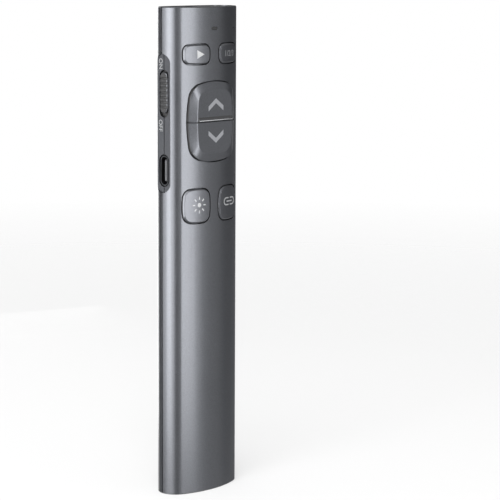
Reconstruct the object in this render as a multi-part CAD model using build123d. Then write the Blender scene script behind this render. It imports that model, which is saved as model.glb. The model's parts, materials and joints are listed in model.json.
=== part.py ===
from build123d import *
import os
from math import atan2, degrees, hypot, sqrt

# Handheld presentation clicker, standing on its tail. Millimetres.
# X runs across it with the buttons facing -Y, Z runs from the tail (0) to the head.
# The two shells meet at a seam plane; q is a height in front of that plane, towards -Y.

# ---------------------------------------------------------------- outer body
LENGTH = 146.0
WIDTH = 29.0
FRONT_RISE = 7.4  # crown of the front shell above the seam plane
BACK_DEPTH = 5.4  # back of the rear shell below the seam plane
FRONT_EDGE_R = 5.7  # side radius of the front shell's section
BACK_EDGE_R = 4.6  # side radius of the rear shell's section
WALL = 0.9
SEAM_GAP = 0.3
RIM_BEVEL = 0.25
FIT = 0.1  # gap between pieces that are fixed in each other
RIM_INSET = 0.25  # how far the end plates lie inside the rims
PLATE_T = 1.3

# ---------------------------------------------------------------- front keys
KEY_GAP = 0.36  # gap between a key and its hole
KEY_LIP = 0.5  # how far a key's flange reaches under the shell
KEY_LIFT = 0.2  # gap between that flange and the shell
KEY_TRAVEL = 0.45
KEY_STAND = 0.45  # small keys above the shell
KEY_BEVEL = 0.4
KEY_SKIN = 1.2
PAIR_X = 6.5  # centre of a left or right key from the middle
TOP_KEY_FROM_HEAD = 13.85
LOW_KEY_FROM_HEAD = 58.6
PAGE_SPLIT_FROM_HEAD = 33.8
TOP_KEY = dict(half_w=4.5, half_h=2.9, corner_r=1.9, side_r=14.0, end_r=40.0)
LOW_KEY = dict(half_w=4.65, half_h=5.1, corner_r=2.6, side_r=24.0, end_r=20.0)
PAGE_KEY = dict(half_w=9.7, half_h=11.8, corner_r=4.6, side_r=45.0, end_r=24.0)
PAGE_FLANK = 2.3  # width of the sloping border around the page keys' flat
PAGE_STAND = 0.4  # that flat above the shell's crown
PAGE_SIDE_DROP = 1.6  # how far the border slopes down at the sides
PAGE_END_DROP = 0.55  # and at the ends
PAGE_SPLIT = 0.24
RIDGE_STAND = 0.5  # ribbed ridge along the upper page key's lower edge
RIDGE_WIDTH = 1.35
RIDGE_STEP = 0.3  # its upright side at the split
RIDGE_LEAN = 0.34  # how far its crest lies from the split
RIDGE_ROOT = 0.3  # how deep it goes into the key
RIDGE_HALF_LENGTH = 7.1
RIDGE_PITCH = 0.55
RIDGE_GROOVE = 0.22
RIDGE_GROOVE_DEPTH = 0.22

# ---------------------------------------------------------------- status light
LIGHT_FROM_HEAD = 6.4
LIGHT_W = 2.5
LIGHT_H = 1.0
LIGHT_CORNER = 0.4
LIGHT_FLANGE = 0.7  # how far the light pipe reaches under the shell around its slot
LIGHT_FLANGE_T = 0.9
LIGHT_CHIP_W = 1.6
LIGHT_CHIP_L = 0.8
LIGHT_CHIP_T = 0.6
LIGHT_CHIP_GAP = 0.3  # between the light pipe and the light on the board
PINHOLE_X = 9.6
PINHOLE_R = 0.25

# ---------------------------------------------------------------- side recesses
SCOOP_DEPTH = 0.9
SCOOP_HALF = 2.8
SCOOP_LOW_FROM_HEAD = 54.65
SCOOP_LENGTH = 41.0
PAD_WALL = 0.8  # shell thickness behind a recess
SIDE_KEY_LENGTH = 10.8
SIDE_KEY_HALF = 1.75
SIDE_KEY_CORNER = 0.6
SIDE_KEY_BEVEL = 0.2
SIDE_KEY_LIP = 0.35  # how far a volume key's flange reaches behind the shell
SIDE_KEY_GAP = 0.2
SIDE_KEY_STAND = 0.5
SIDE_KEY_TRAVEL = 0.35
SIDE_KEY_PITCH = 13.2
SIDE_KEYS_FROM_HEAD = 33.85
SIDE_FLANGE_GAP = 0.15  # between the shell and the flanges behind the side openings
SIDE_FLANGE_T = 0.75
SIDE_PRESS_GAP = 0.55  # between a pressed volume key and its switch
SIDE_TACT_W = 3.4
SIDE_TACT_L = 4.6
SIDE_TACT_T = 1.3
SIDE_BOARD_T = 0.3
SIDE_BOARD_W = 4.0
SIDE_BOARD_MARGIN = 1.3  # side board past the volume keys
SIDE_RIB_T = 1.4
SOCKET_FROM_HEAD = 48.05
SOCKET_MOUTH_L = 9.7
SOCKET_MOUTH_W = 4.2
SOCKET_RECESS = 0.15  # socket's rim behind the recess's floor
SOCKET_L = 8.94
SOCKET_W = 3.26
SOCKET_DEPTH = 7.35
SOCKET_T = 0.3
TONGUE_RECESS = 0.6  # tongue's tip behind the socket's rim
TONGUE_L = 6.7
TONGUE_T = 0.7
TONGUE_BEVEL = 0.4
TONGUE_ROOT_L = 7.0
TONGUE_ROOT_T = 1.6
TONGUE_ROOT_DEPTH = 1.6
SWITCH_SLOT_FROM_HEAD = 25.35
SWITCH_SLOT_L = 14.0
SWITCH_SLOT_HALF = 1.9
KNOB_L = 12.0
KNOB_HALF = 1.5
KNOB_STAND = 0.25
KNOB_REST = 0.3  # knob's centre above the slot's centre when it is on
SWITCH_TRAVEL = 1.2
KNOB_BEVEL = 0.2
KNOB_GROOVES = 7
KNOB_GROOVE_PITCH = 1.4
KNOB_GROOVE_R = 0.5
KNOB_GROOVE_DEPTH = 0.25
CARRIER_T = 0.65
CARRIER_W = 4.2
CARRIER_CORNER = 0.5
LEVER_W = 1.2
LEVER_L = 2.4
LEVER_REACH = 0.8  # how far the lever enters the switch case
LEVER_GAP = 0.15
SLIDE_END_GAP = 0.3  # between the dark slide and the chassis
SWITCH_CASE_L = 8.6
SWITCH_CASE_W = 3.0
SWITCH_CASE_T = 3.0
SWITCH_CASE_GAP = 0.9  # between the switch case and the dark slide

# ---------------------------------------------------------------- receiver and its bay
CAP_LENGTH = 7.3
CAP_TOP_Q = 1.5
CAP_TOP_HALF = 6.85
CAP_BACK_HALF = 7.15
CAP_GAP = 0.2
CAP_FACE_T = 1.8  # cap's tail wall, under the plug
NAIL_GROOVE_L = 8.0
NAIL_GROOVE_R = 0.7
NAIL_GROOVE_DEPTH = 0.35
NAIL_GROOVE_Z = 2.45
PLUG_W = 12.0
PLUG_T = 4.5
PLUG_Q = -1.75
PLUG_WALL = 0.3
PLUG_END = 19.2
PLUG_CORNER = 0.25
PLUG_FIT = 0.05  # between the plug and the cap that holds it
PLUG_FOOT_GAP = 0.2  # between the plug's end and the cap's tail wall
LATCH_X = 2.9
LATCH_W = 2.2
LATCH_L = 2.4
LATCH_FROM_END = 5.2
CONTACT_T = 0.8  # receiver's board
CONTACT_Q = -2.05  # its underside
CONTACT_RECESS = 0.6
CORE_RECESS = 0.4
CORE_LOW_GAP = 0.3
BAY_GAP = 0.15
BAY_WALL = 1.4
MAGNET_W = 6.0
MAGNET_H = 2.0

# ---------------------------------------------------------------- circuit board and what is on it
BOARD_T = 1.0
BOARD_BACK_Q = 0.5
BOARD_HALF = 11.3
BOARD_CORNER = 1.2
BOARD_FROM_HEAD_PLATE = 2.0
TACT_SIZE = 4.4
TACT_T = 1.1
TACT_CORNER = 0.4
PLUNGER_R = 1.0
PLUNGER_GAP = 0.08
PLUNGER_END_GAP = 0.05  # between a pressed plunger and its board
KEY_BASE_Q = 3.2  # underside of the front keys
CHASSIS_T = 1.0
RAIL_W = 2.0
RAIL_H = 1.5
SCREW_R = 0.8
SCREW_FIT = 0.03
SCREW_HOLE_GAP = 0.15
SCREW_DEPTH = 3.1  # shank below the board's back
SCREW_END_GAP = 0.4
SCREW_HEAD_R = 1.6
SCREW_HEAD_T = 0.9
SCREW_HEAD_BEVEL = 0.3
CROSS_L = 1.6
CROSS_W = 0.4
CROSS_DEPTH = 0.45
BOSS_R = 1.8
SCREW_X = 9.8
SCREW_LOW_Z = 66.0
SCREW_HIGH_FROM_HEAD = 8.2
SHIELD = dict(width=13.0, length=11.0, height=1.6, edge=0.3)
SHIELD_BELOW_KEYS = 15.2  # middle of the shield below the lower keys' switches
CONTROLLER = dict(width=6.0, length=6.0, height=0.9)
CHARGER = dict(width=4.0, length=3.0, height=0.9)
CHARGER_X = -6.5
CHARGER_ABOVE_SOCKET = 8.4
CRYSTAL = dict(width=2.0, length=3.2, height=0.8)
CRYSTAL_X = 5.6
CHIP_BELOW_SHIELD = 17.0
CAPACITOR = dict(width=1.0, length=2.0, height=0.9, edge=0.1)
CAPACITOR_X = 8.4
CAPACITOR_LOW_Z = 32.0
CAPACITOR_PITCH = 4.2
CAPACITOR_ROWS = 3
CHIP_EDGE = 0.15

# ---------------------------------------------------------------- battery and laser
BATTERY_W = 18.0
BATTERY_L = 38.0
BATTERY_T = 3.6
BATTERY_EDGE_R = 1.08
BATTERY_LOW_Z = 24.0
BATTERY_SIDE_GAP = 0.3
BATTERY_END_GAP = 0.5
TAPE_T = 0.4
TAPE_W = 12.0
TAPE_L = 30.0
LEAD_R = 0.5
LEAD_X = 1.0
LEAD_L = 2.2
HEADER_W = 5.2
HEADER_L = 3.4
HEADER_DROP = 0.9  # header's underside below the leads
HEADER_BEVEL = 0.3
LASER_R = 2.2
LASER_Q = -1.9
LASER_LENGTH = 10.8
LASER_WALL = 0.6
LASER_RIM = 0.4  # how far the barrel's rim reaches over the lens
LASER_RIM_T = 0.8
LASER_BEVEL = 0.2
LASER_FIT = 0.05
LASER_HEAD_GAP = 0.4  # between the barrel and the chassis's upper end
OPTIC_FIT = 0.03  # between the barrel's bore and what sits in it
LENS_T = 1.2
LENS_BEVEL = 0.3
DIODE_INSET = 0.2
DIODE_BASE_T = 1.0
DIODE_CAN_L = 2.6
DIODE_CAN_R = 1.2
SADDLE_HALF = 3.6
SADDLE_INSET = 1.0  # saddle shorter than the laser at both ends
SADDLE_GAP = 0.2
WINDOW_BEVEL = 0.2

# ---------------------------------------------------------------- worked out from the values above
FRONT_REACH = FRONT_RISE + PAGE_STAND + RIDGE_STAND
SEAM_Y = (FRONT_REACH - BACK_DEPTH) / 2
FAR = 2 * (WIDTH + LENGTH)
HALF = WIDTH / 2
FLOOR_X = HALF - SCOOP_DEPTH
PAD_X = FLOOR_X - PAD_WALL
BOARD_TOP_Q = BOARD_BACK_Q + BOARD_T
PAGE_Z = LENGTH - PAGE_SPLIT_FROM_HEAD
TOP_Z = LENGTH - TOP_KEY_FROM_HEAD
LOW_Z = LENGTH - LOW_KEY_FROM_HEAD
LIGHT_Z = LENGTH - LIGHT_FROM_HEAD
SHIELD_Z = LOW_Z - SHIELD_BELOW_KEYS
CHIP_Z = SHIELD_Z - CHIP_BELOW_SHIELD
SCOOP_LOW = LENGTH - SCOOP_LOW_FROM_HEAD
SCOOP_Z = SCOOP_LOW + SCOOP_LENGTH / 2
SOCKET_Z = LENGTH - SOCKET_FROM_HEAD
SOCKET_X = FLOOR_X - SOCKET_RECESS  # distance of the socket's rim from the middle
SLOT_Z = LENGTH - SWITCH_SLOT_FROM_HEAD
KNOB_Z = SLOT_Z + KNOB_REST
SIDE_KEYS_Z = LENGTH - SIDE_KEYS_FROM_HEAD
HEAD_PLATE_Z = LENGTH - RIM_INSET - PLATE_T
BAY_LOW = RIM_INSET + CAP_LENGTH + BAY_GAP
BAY_HIGH = PLUG_END + BAY_GAP + BAY_WALL
BOARD_LOW = BAY_HIGH + BAY_GAP
BOARD_HIGH = HEAD_PLATE_Z - BOARD_FROM_HEAD_PLATE
CHASSIS_HIGH = HEAD_PLATE_Z - FIT
LINER = WALL + FIT
PAGE_FLAT_Q = FRONT_RISE + PAGE_STAND
RAIL_Q = BOARD_BACK_Q - RAIL_H
SIDE_FLANGE_X = PAD_X - SIDE_FLANGE_GAP
SIDE_BASE_X = SIDE_FLANGE_X - SIDE_FLANGE_T
SIDE_BOARD_X = SIDE_BASE_X - SIDE_KEY_TRAVEL - SIDE_PRESS_GAP - SIDE_TACT_T
SIDE_RIB_X = SIDE_BOARD_X - SIDE_BOARD_T - SIDE_RIB_T
SIDE_END = (SIDE_KEY_PITCH + SIDE_KEY_LENGTH) / 2 + SIDE_BOARD_MARGIN
SIDE_BOARD_SPAN = (SIDE_KEYS_Z - SIDE_END, SIDE_KEYS_Z + SIDE_END)
CARRIER_L = SWITCH_SLOT_L + 2 * SWITCH_TRAVEL
LEVER_X = SIDE_FLANGE_X - CARRIER_T
SWITCH_CASE_X = LEVER_X - SWITCH_CASE_GAP
BATTERY_TOP_Q = BOARD_BACK_Q - TAPE_T
BATTERY_HIGH_Z = BATTERY_LOW_Z + BATTERY_L
LEAD_Q = BATTERY_TOP_Q - BATTERY_T / 2
LASER_HIGH = CHASSIS_HIGH - LASER_HEAD_GAP
LASER_LOW = LASER_HIGH - LASER_LENGTH
LASER_BORE = LASER_R - LASER_WALL
PLUG_LOW = RIM_INSET + CAP_FACE_T + PLUG_FOOT_GAP


# ---------------------------------------------------------------- section and simple shapes
def crown_radius(rise, edge_r):
    """Radius of the middle arc that joins two side arcs smoothly at the given rise."""
    return (HALF**2 + rise**2 - 2 * HALF * edge_r) / (2 * (rise - edge_r))


def arch(toward, rise, edge_r, inset):
    """Three tangent arcs from the right side over the crown to the left side, moved in by inset."""
    crown_r = crown_radius(rise, edge_r)
    tilt = degrees(atan2(crown_r - rise, HALF - edge_r))
    middle = (0, SEAM_Y + toward * (rise - crown_r))
    return [
        CenterArc((HALF - edge_r, SEAM_Y), edge_r - inset, 0, toward * tilt),
        CenterArc(middle, crown_r - inset, toward * tilt, toward * (180 - 2 * tilt)),
        CenterArc((edge_r - HALF, SEAM_Y), edge_r - inset, toward * (180 - tilt), toward * tilt),
    ]


def body(inset, low, high):
    """The clicker's oval, moved in by inset, between two heights."""
    front = arch(-1, FRONT_RISE, FRONT_EDGE_R, inset)
    back = arch(1, BACK_DEPTH, BACK_EDGE_R, inset)
    return extrude(Pos(0, 0, low) * make_face(front + back), high - low, dir=(0, 0, 1))


def block(x, q, z):
    """Box between the two ends given for x, for q and for z."""
    size = (x[1] - x[0], q[1] - q[0], z[1] - z[0])
    middle = (sum(x) / 2, SEAM_Y - sum(q) / 2, sum(z) / 2)
    return Pos(*middle) * Box(*size)


def front_prism(sketch, q_low, q_high):
    """Sketch in x and z, extruded between two heights q."""
    plane = Plane(origin=(0, SEAM_Y - q_low, 0), x_dir=(1, 0, 0), z_dir=(0, -1, 0))
    return extrude(plane * sketch, q_high - q_low, dir=(0, -1, 0))


def side_prism(sketch, x_low, x_high):
    """Sketch in q and z, extruded between two places along X."""
    plane = Plane(origin=(x_high, SEAM_Y, 0), x_dir=(0, -1, 0), z_dir=(-1, 0, 0))
    return extrude(plane * sketch, x_high - x_low, dir=(-1, 0, 0))


def post(x, z, q_low, q_high, radius):
    """Round post along Y."""
    return front_prism(Pos(x, z) * Circle(radius), q_low, q_high)


def rod(x, q, low, high, radius):
    """Round rod along Z."""
    return Pos(x, SEAM_Y - q, (low + high) / 2) * Cylinder(radius, high - low)


def cushion(half_w, half_h, corner_r, side_r, end_r, grow=0.0):
    """Outline with four slightly bowed sides and round corners, all tangent, grown by grow."""
    side_x = half_w - side_r
    end_y = half_h - end_r
    reach_side = side_r - corner_r
    reach_end = end_r - corner_r
    span = hypot(side_x, end_y)
    along = (reach_side**2 - reach_end**2 + span**2) / (2 * span)
    off = sqrt(reach_side**2 - along**2)
    ux, uy = -side_x / span, end_y / span
    corners = [(side_x + along * ux - s * off * uy, along * uy + s * off * ux) for s in (1, -1)]
    cx, cy = max(corners)
    low = degrees(atan2(cy, cx - side_x))
    high = degrees(atan2(cy - end_y, cx))
    side, corner, end = side_r + grow, corner_r + grow, end_r + grow
    turn = high - low
    return make_face([
        CenterArc((side_x, 0), side, -low, 2 * low),
        CenterArc((cx, cy), corner, low, turn),
        CenterArc((0, end_y), end, high, 180 - 2 * high),
        CenterArc((-cx, cy), corner, 180 - high, turn),
        CenterArc((-side_x, 0), side, 180 - low, 2 * low),
        CenterArc((-cx, -cy), corner, 180 + low, turn),
        CenterArc((0, -end_y), end, 180 + high, 180 - 2 * high),
        CenterArc((cx, -cy), corner, -high, turn),
    ])


def obround(length, half_width):
    """Sketch in q and z with round ends, long in z."""
    return SlotOverall(length, 2 * half_width, rotation=90)


def face_rim(solid):
    """Edges between the outward face of a key and its upright walls."""
    upright = [f for f in solid.faces() if abs(f.normal_at().Y) < 0.01]
    outward = [f for f in solid.faces() if f.normal_at().Y < -0.05]
    walls = {e for f in upright for e in f.edges()}
    return ShapeList([e for f in outward for e in f.edges() if e in walls])


# ---------------------------------------------------------------- shells
def key_places():
    """Name, x, z and outline of each key hole in the front shell."""
    yield "play", -PAIR_X, TOP_Z, TOP_KEY
    yield "mode", PAIR_X, TOP_Z, TOP_KEY
    yield "laser", -PAIR_X, LOW_Z, LOW_KEY
    yield "link", PAIR_X, LOW_Z, LOW_KEY
    yield "page", 0, PAGE_Z, PAGE_KEY


def side_key_z(step):
    """Middle of a volume key; step is +1 for the upper one."""
    return SIDE_KEYS_Z + step * SIDE_KEY_PITCH / 2


def side_key_sketch(grow):
    length = SIDE_KEY_LENGTH + 2 * grow
    return RectangleRounded(2 * (SIDE_KEY_HALF + grow), length, SIDE_KEY_CORNER + grow)


def shell_blank():
    """Both shells in one piece, with the side recesses and their openings."""
    outside = body(0, 0, LENGTH)
    ends = outside.edges().group_by(Axis.Z)
    outside = chamfer(ends[0] + ends[-1], RIM_BEVEL)
    shell = outside - body(WALL, -1, LENGTH + 1)
    pad = (SCOOP_LOW - PAD_WALL, SCOOP_LOW + SCOOP_LENGTH + PAD_WALL)
    for side in (-1, 1):
        ends_x = sorted((side * PAD_X, side * HALF))
        shell += block(ends_x, (-FRONT_RISE, FRONT_RISE), pad) & body(0, 1, LENGTH - 1)
        outer_x = sorted((side * FLOOR_X, side * FAR))
        shell -= side_prism(Pos(0, SCOOP_Z) * obround(SCOOP_LENGTH, SCOOP_HALF), *outer_x)
    shell -= side_prism(Pos(0, SOCKET_Z) * obround(SOCKET_MOUTH_L, SOCKET_MOUTH_W / 2), -FAR, -PAD_X / 2)
    shell -= side_prism(Pos(0, SLOT_Z) * obround(SWITCH_SLOT_L, SWITCH_SLOT_HALF), -FAR, -PAD_X / 2)
    for step in (-1, 1):
        hole = Pos(0, side_key_z(step)) * side_key_sketch(SIDE_KEY_GAP)
        shell -= side_prism(hole, PAD_X / 2, FAR)
    return shell


def cap_sketch(grow):
    """Section of the receiver's cap: straight flanks that open towards the back."""
    depth = BACK_DEPTH + CAP_GAP
    top, back = CAP_TOP_HALF + grow, CAP_BACK_HALF + grow
    points = [
        (-top, SEAM_Y - CAP_TOP_Q - grow),
        (top, SEAM_Y - CAP_TOP_Q - grow),
        (back, SEAM_Y + depth),
        (-back, SEAM_Y + depth),
    ]
    return make_face(Polyline(*points, close=True))


def cap_space(grow, low, high):
    return extrude(Pos(0, 0, low) * cap_sketch(grow), high - low, dir=(0, 0, 1))


def front_shell(blank):
    shell = blank & block((-FAR, FAR), (SEAM_GAP / 2, FAR), (-1, LENGTH + 1))
    for _, x, z, outline in key_places():
        shell -= front_prism(Pos(x, z) * cushion(**outline, grow=KEY_GAP), KEY_BASE_Q - 1, FAR)
    slot = RectangleRounded(LIGHT_W, LIGHT_H, LIGHT_CORNER)
    shell -= front_prism(Pos(0, LIGHT_Z) * slot, BOARD_TOP_Q, FAR)
    return shell - post(PINHOLE_X, LIGHT_Z, BOARD_TOP_Q, FAR, PINHOLE_R)


def rear_shell(blank):
    shell = blank & block((-FAR, FAR), (-FAR, -SEAM_GAP / 2), (-1, LENGTH + 1))
    return shell - cap_space(CAP_GAP, -1, RIM_INSET + CAP_LENGTH + CAP_GAP)


def tail_plate():
    """Cup that closes the tail, open where the receiver's cap sits."""
    skirt = body(LINER + CHASSIS_T, RIM_INSET + PLATE_T, FAR)
    cup = body(LINER, RIM_INSET, BAY_LOW - FIT) - skirt
    return cup - cap_space(CAP_GAP, -1, FAR)


def head_plate():
    plate = body(LINER, HEAD_PLATE_Z, LENGTH - RIM_INSET)
    return plate - rod(0, LASER_Q, HEAD_PLATE_Z - 1, LENGTH, LASER_R)


def laser_window():
    """Round pane in the head plate, with a shallow bevel."""
    pane = rod(0, LASER_Q, HEAD_PLATE_Z + FIT, LENGTH - RIM_INSET - FIT, LASER_R - FIT)
    return chamfer(pane.edges().group_by(Axis.Z)[-1], WINDOW_BEVEL)


# ---------------------------------------------------------------- front keys
def key_flange(x, z, outline):
    lip = front_prism(Pos(x, z) * cushion(**outline, grow=KEY_GAP + KEY_LIP), KEY_BASE_Q, FRONT_RISE)
    return lip & body(WALL + KEY_LIFT, 0, LENGTH)


def small_key(x, z, outline):
    """Hollow key with a bevelled face that follows the shell, and a flange under the shell."""
    head = front_prism(Pos(x, z) * cushion(**outline), KEY_BASE_Q, FAR) & body(-KEY_STAND, 0, LENGTH)
    head = chamfer(face_rim(head), KEY_BEVEL)
    hollow = front_prism(Pos(x, z) * cushion(**outline, grow=-KEY_SKIN), 0, FAR)
    hollow &= body(KEY_SKIN - KEY_STAND, 0, LENGTH)
    hollow -= post(x, z, 0, FAR, PLUNGER_R + KEY_SKIN)
    return head + key_flange(x, z, outline) - hollow


def page_block():
    """Both page keys in one piece: a flat with a border that slopes down to the shell."""
    outline = Pos(0, PAGE_Z) * cushion(**PAGE_KEY)
    flat = dict(PAGE_KEY)
    flat["half_w"] -= PAGE_FLANK
    flat["half_h"] -= PAGE_FLANK
    flat["corner_r"] -= PAGE_FLANK / 2
    # the slopes run on past the key's edge, so that they cut its walls cleanly
    past = 1.25
    foot = dict(PAGE_KEY)
    foot["half_w"] = flat["half_w"] + past * PAGE_FLANK
    foot["half_h"] = flat["half_h"] + past * PAGE_FLANK * PAGE_SIDE_DROP / PAGE_END_DROP
    foot["end_r"] = PAGE_KEY["end_r"] + foot["half_h"] - PAGE_KEY["half_h"]
    foot["side_r"] = PAGE_KEY["side_r"] * (foot["half_h"] / flat["half_h"]) ** 2
    foot_q = PAGE_FLAT_Q - past * PAGE_SIDE_DROP
    rings = []
    for ring, q in ((foot, foot_q), (flat, PAGE_FLAT_Q)):
        plane = Plane(origin=(0, SEAM_Y - q, PAGE_Z), x_dir=(1, 0, 0), z_dir=(0, -1, 0))
        rings.append((plane * cushion(**ring)).face().outer_wire())
    mound = Solid.make_loft(rings, ruled=True) & front_prism(outline, foot_q, FAR)
    head = front_prism(outline, KEY_BASE_Q, foot_q) + mound
    return head + key_flange(0, PAGE_Z, PAGE_KEY)


def ridge():
    """Finger ridge along the upper page key: steep towards the split, with fine cross ribs."""
    low = PAGE_Z + PAGE_SPLIT / 2
    crest_q = PAGE_FLAT_Q + RIDGE_STAND
    profile = make_face(Polyline(
        (PAGE_FLAT_Q - RIDGE_ROOT, low),
        (PAGE_FLAT_Q + RIDGE_STEP, low),
        (crest_q, low + RIDGE_LEAN),
        (PAGE_FLAT_Q, low + RIDGE_WIDTH),
        (PAGE_FLAT_Q - RIDGE_ROOT, low + RIDGE_WIDTH),
        close=True,
    ))
    bar = side_prism(profile, -RIDGE_HALF_LENGTH, RIDGE_HALF_LENGTH)
    ribs = int(2 * (RIDGE_HALF_LENGTH - RIDGE_PITCH) / RIDGE_PITCH)
    for i in range(ribs + 1):
        x = (i - ribs / 2) * RIDGE_PITCH
        groove = (x - RIDGE_GROOVE / 2, x + RIDGE_GROOVE / 2)
        bar -= block(groove, (crest_q - RIDGE_GROOVE_DEPTH, FAR), (low - 1, low + RIDGE_WIDTH))
    return bar


def page_key(whole, step):
    """Upper (step +1) or lower (step -1) half, hollowed under its flat around a post."""
    inner = PAGE_Z + step * PAGE_SPLIT / 2
    half = whole & block((-FAR, FAR), (-FAR, FAR), sorted((inner, inner + step * FAR)))
    room = front_prism(Pos(0, PAGE_Z) * cushion(**PAGE_KEY, grow=-PAGE_FLANK), 0, PAGE_FLAT_Q - KEY_SKIN)
    wall = inner + step * KEY_SKIN
    room &= block((-FAR, FAR), (-FAR, FAR), sorted((wall, wall + step * FAR)))
    room -= post(0, page_press_z(step), 0, FAR, PLUNGER_R + KEY_SKIN)
    return half - room


def page_press_z(step):
    """Height of the page key's switch."""
    return PAGE_Z + step * PAGE_KEY["half_h"] / 2


def tact_switch(x, z):
    """Low square push switch on the board, with the hole that its plunger runs in."""
    half = TACT_SIZE / 2
    top = BOARD_TOP_Q + TACT_T
    case = block((x - half, x + half), (BOARD_TOP_Q, top), (z - half, z + half))
    case = chamfer(case.edges().filter_by(Axis.Y), TACT_CORNER)
    return case - post(x, z, BOARD_TOP_Q, top + 1, PLUNGER_R + PLUNGER_GAP)


def plunger(x, z):
    return post(x, z, BOARD_TOP_Q + KEY_TRAVEL + PLUNGER_END_GAP, KEY_BASE_Q, PLUNGER_R)


# ---------------------------------------------------------------- side keys, slide switch, socket
def volume_key(step):
    """Bar key with a bevelled face and a flange behind the shell."""
    place = Pos(0, side_key_z(step))
    bar = side_prism(place * side_key_sketch(0), SIDE_BASE_X, FLOOR_X + SIDE_KEY_STAND)
    bar = chamfer(bar.faces().sort_by(Axis.X)[-1].edges(), SIDE_KEY_BEVEL)
    return bar + side_prism(place * side_key_sketch(SIDE_KEY_LIP), SIDE_BASE_X, SIDE_FLANGE_X)


def side_post(z, x_low, x_high, radius):
    return side_prism(Pos(0, z) * Circle(radius), x_low, x_high)


def side_switch(step):
    z = side_key_z(step)
    tact_x = SIDE_BOARD_X + SIDE_TACT_T
    case = side_prism(Pos(0, z) * Rectangle(SIDE_TACT_W, SIDE_TACT_L), SIDE_BOARD_X, tact_x)
    case = chamfer(case.edges().filter_by(Axis.X), TACT_CORNER)
    return case - side_post(z, SIDE_BOARD_X, tact_x + 1, PLUNGER_R + PLUNGER_GAP)


def side_plunger(step):
    low = SIDE_BOARD_X + SIDE_KEY_TRAVEL + PLUNGER_END_GAP
    return side_post(side_key_z(step), low, SIDE_BASE_X, PLUNGER_R)


def side_board():
    """Thin upright board that carries the two volume switches."""
    x = (SIDE_BOARD_X - SIDE_BOARD_T, SIDE_BOARD_X)
    return block(x, (-SIDE_BOARD_W / 2, SIDE_BOARD_W / 2), SIDE_BOARD_SPAN)


def switch_knob():
    """Sliding cap with round ends and cross grooves."""
    face_x = FLOOR_X + KNOB_STAND
    knob = side_prism(Pos(0, KNOB_Z) * obround(KNOB_L, KNOB_HALF), -face_x, -SIDE_FLANGE_X)
    knob = chamfer(knob.faces().sort_by(Axis.X)[0].edges(), KNOB_BEVEL)
    groove_x = -face_x - KNOB_GROOVE_R + KNOB_GROOVE_DEPTH
    for i in range(KNOB_GROOVES):
        z = KNOB_Z + (i - (KNOB_GROOVES - 1) / 2) * KNOB_GROOVE_PITCH
        knob -= Pos(groove_x, SEAM_Y, z) * Rot(90, 0, 0) * Cylinder(KNOB_GROOVE_R, 4 * KNOB_HALF)
    return knob


def switch_carrier():
    """Dark slide behind the slot; it fills the slot from behind at both ends of the travel."""
    plate = RectangleRounded(CARRIER_W, CARRIER_L, CARRIER_CORNER)
    return side_prism(Pos(0, KNOB_Z) * plate, -SIDE_FLANGE_X, -LEVER_X)


def slide_switch_lever():
    x = (-LEVER_X, -SWITCH_CASE_X + LEVER_REACH)
    return block(x, (-LEVER_W / 2, LEVER_W / 2), (KNOB_Z - LEVER_L / 2, KNOB_Z + LEVER_L / 2))


def slide_switch():
    """Switch case in a notch of the board, with the slot that its lever runs in."""
    x = (-SWITCH_CASE_X, -SWITCH_CASE_X + SWITCH_CASE_T)
    half = SWITCH_CASE_L / 2
    case = block(x, (-SWITCH_CASE_W / 2, SWITCH_CASE_W / 2), (SLOT_Z - half, SLOT_Z + half))
    case = chamfer(case.edges().filter_by(Axis.X), TACT_CORNER)
    room = LEVER_L / 2 + LEVER_GAP
    room_z = (KNOB_Z - SWITCH_TRAVEL - room, KNOB_Z + room)
    room_q = (-LEVER_W / 2 - LEVER_GAP, LEVER_W / 2 + LEVER_GAP)
    return case - block((-FAR, x[0] + LEVER_REACH + LEVER_GAP), room_q, room_z)


def charging_socket_shell():
    """Flattened metal tube of the charging socket, closed at its inner end."""
    inner = (-FAR, -SOCKET_X + SOCKET_DEPTH - SOCKET_T)
    outer = (-SOCKET_X, -SOCKET_X + SOCKET_DEPTH)
    tube = side_prism(Pos(0, SOCKET_Z) * obround(SOCKET_L, SOCKET_W / 2), *outer)
    bore = obround(SOCKET_L - 2 * SOCKET_T, SOCKET_W / 2 - SOCKET_T)
    return tube - side_prism(Pos(0, SOCKET_Z) * bore, *inner)


def tongue_part(x, thickness, length):
    return block(x, (-thickness / 2, thickness / 2), (SOCKET_Z - length / 2, SOCKET_Z + length / 2))


def charging_socket_tongue():
    """Contact tongue of the charging socket with its thicker root."""
    back = -SOCKET_X + SOCKET_DEPTH - SOCKET_T
    blade = tongue_part((-SOCKET_X + TONGUE_RECESS, back), TONGUE_T, TONGUE_L)
    blade = chamfer(blade.edges().filter_by(Axis.Y).group_by(Axis.X)[0], TONGUE_BEVEL)
    return blade + tongue_part((back - TONGUE_ROOT_DEPTH, back), TONGUE_ROOT_T, TONGUE_ROOT_L)


# ---------------------------------------------------------------- chassis and board
def grown(span, by):
    return span[0] - by, span[1] + by


def notch_spaces():
    """Rooms at the board's edges for the socket, the slide switch and the side board."""
    socket = SOCKET_L / 2 + FIT
    case = SWITCH_CASE_L / 2 + FIT
    yield (-FAR, -SOCKET_X + SOCKET_DEPTH + FIT), (SOCKET_Z - socket, SOCKET_Z + socket)
    yield (-FAR, -SWITCH_CASE_X + SWITCH_CASE_T + FIT), (SLOT_Z - case, SLOT_Z + case)
    yield (SIDE_RIB_X - FIT, FAR), grown(SIDE_BOARD_SPAN, FIT)


def screw_places():
    for z in (SCREW_LOW_Z, LENGTH - SCREW_HIGH_FROM_HEAD):
        for side in (-1, 1):
            yield side * SCREW_X, z


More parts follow.
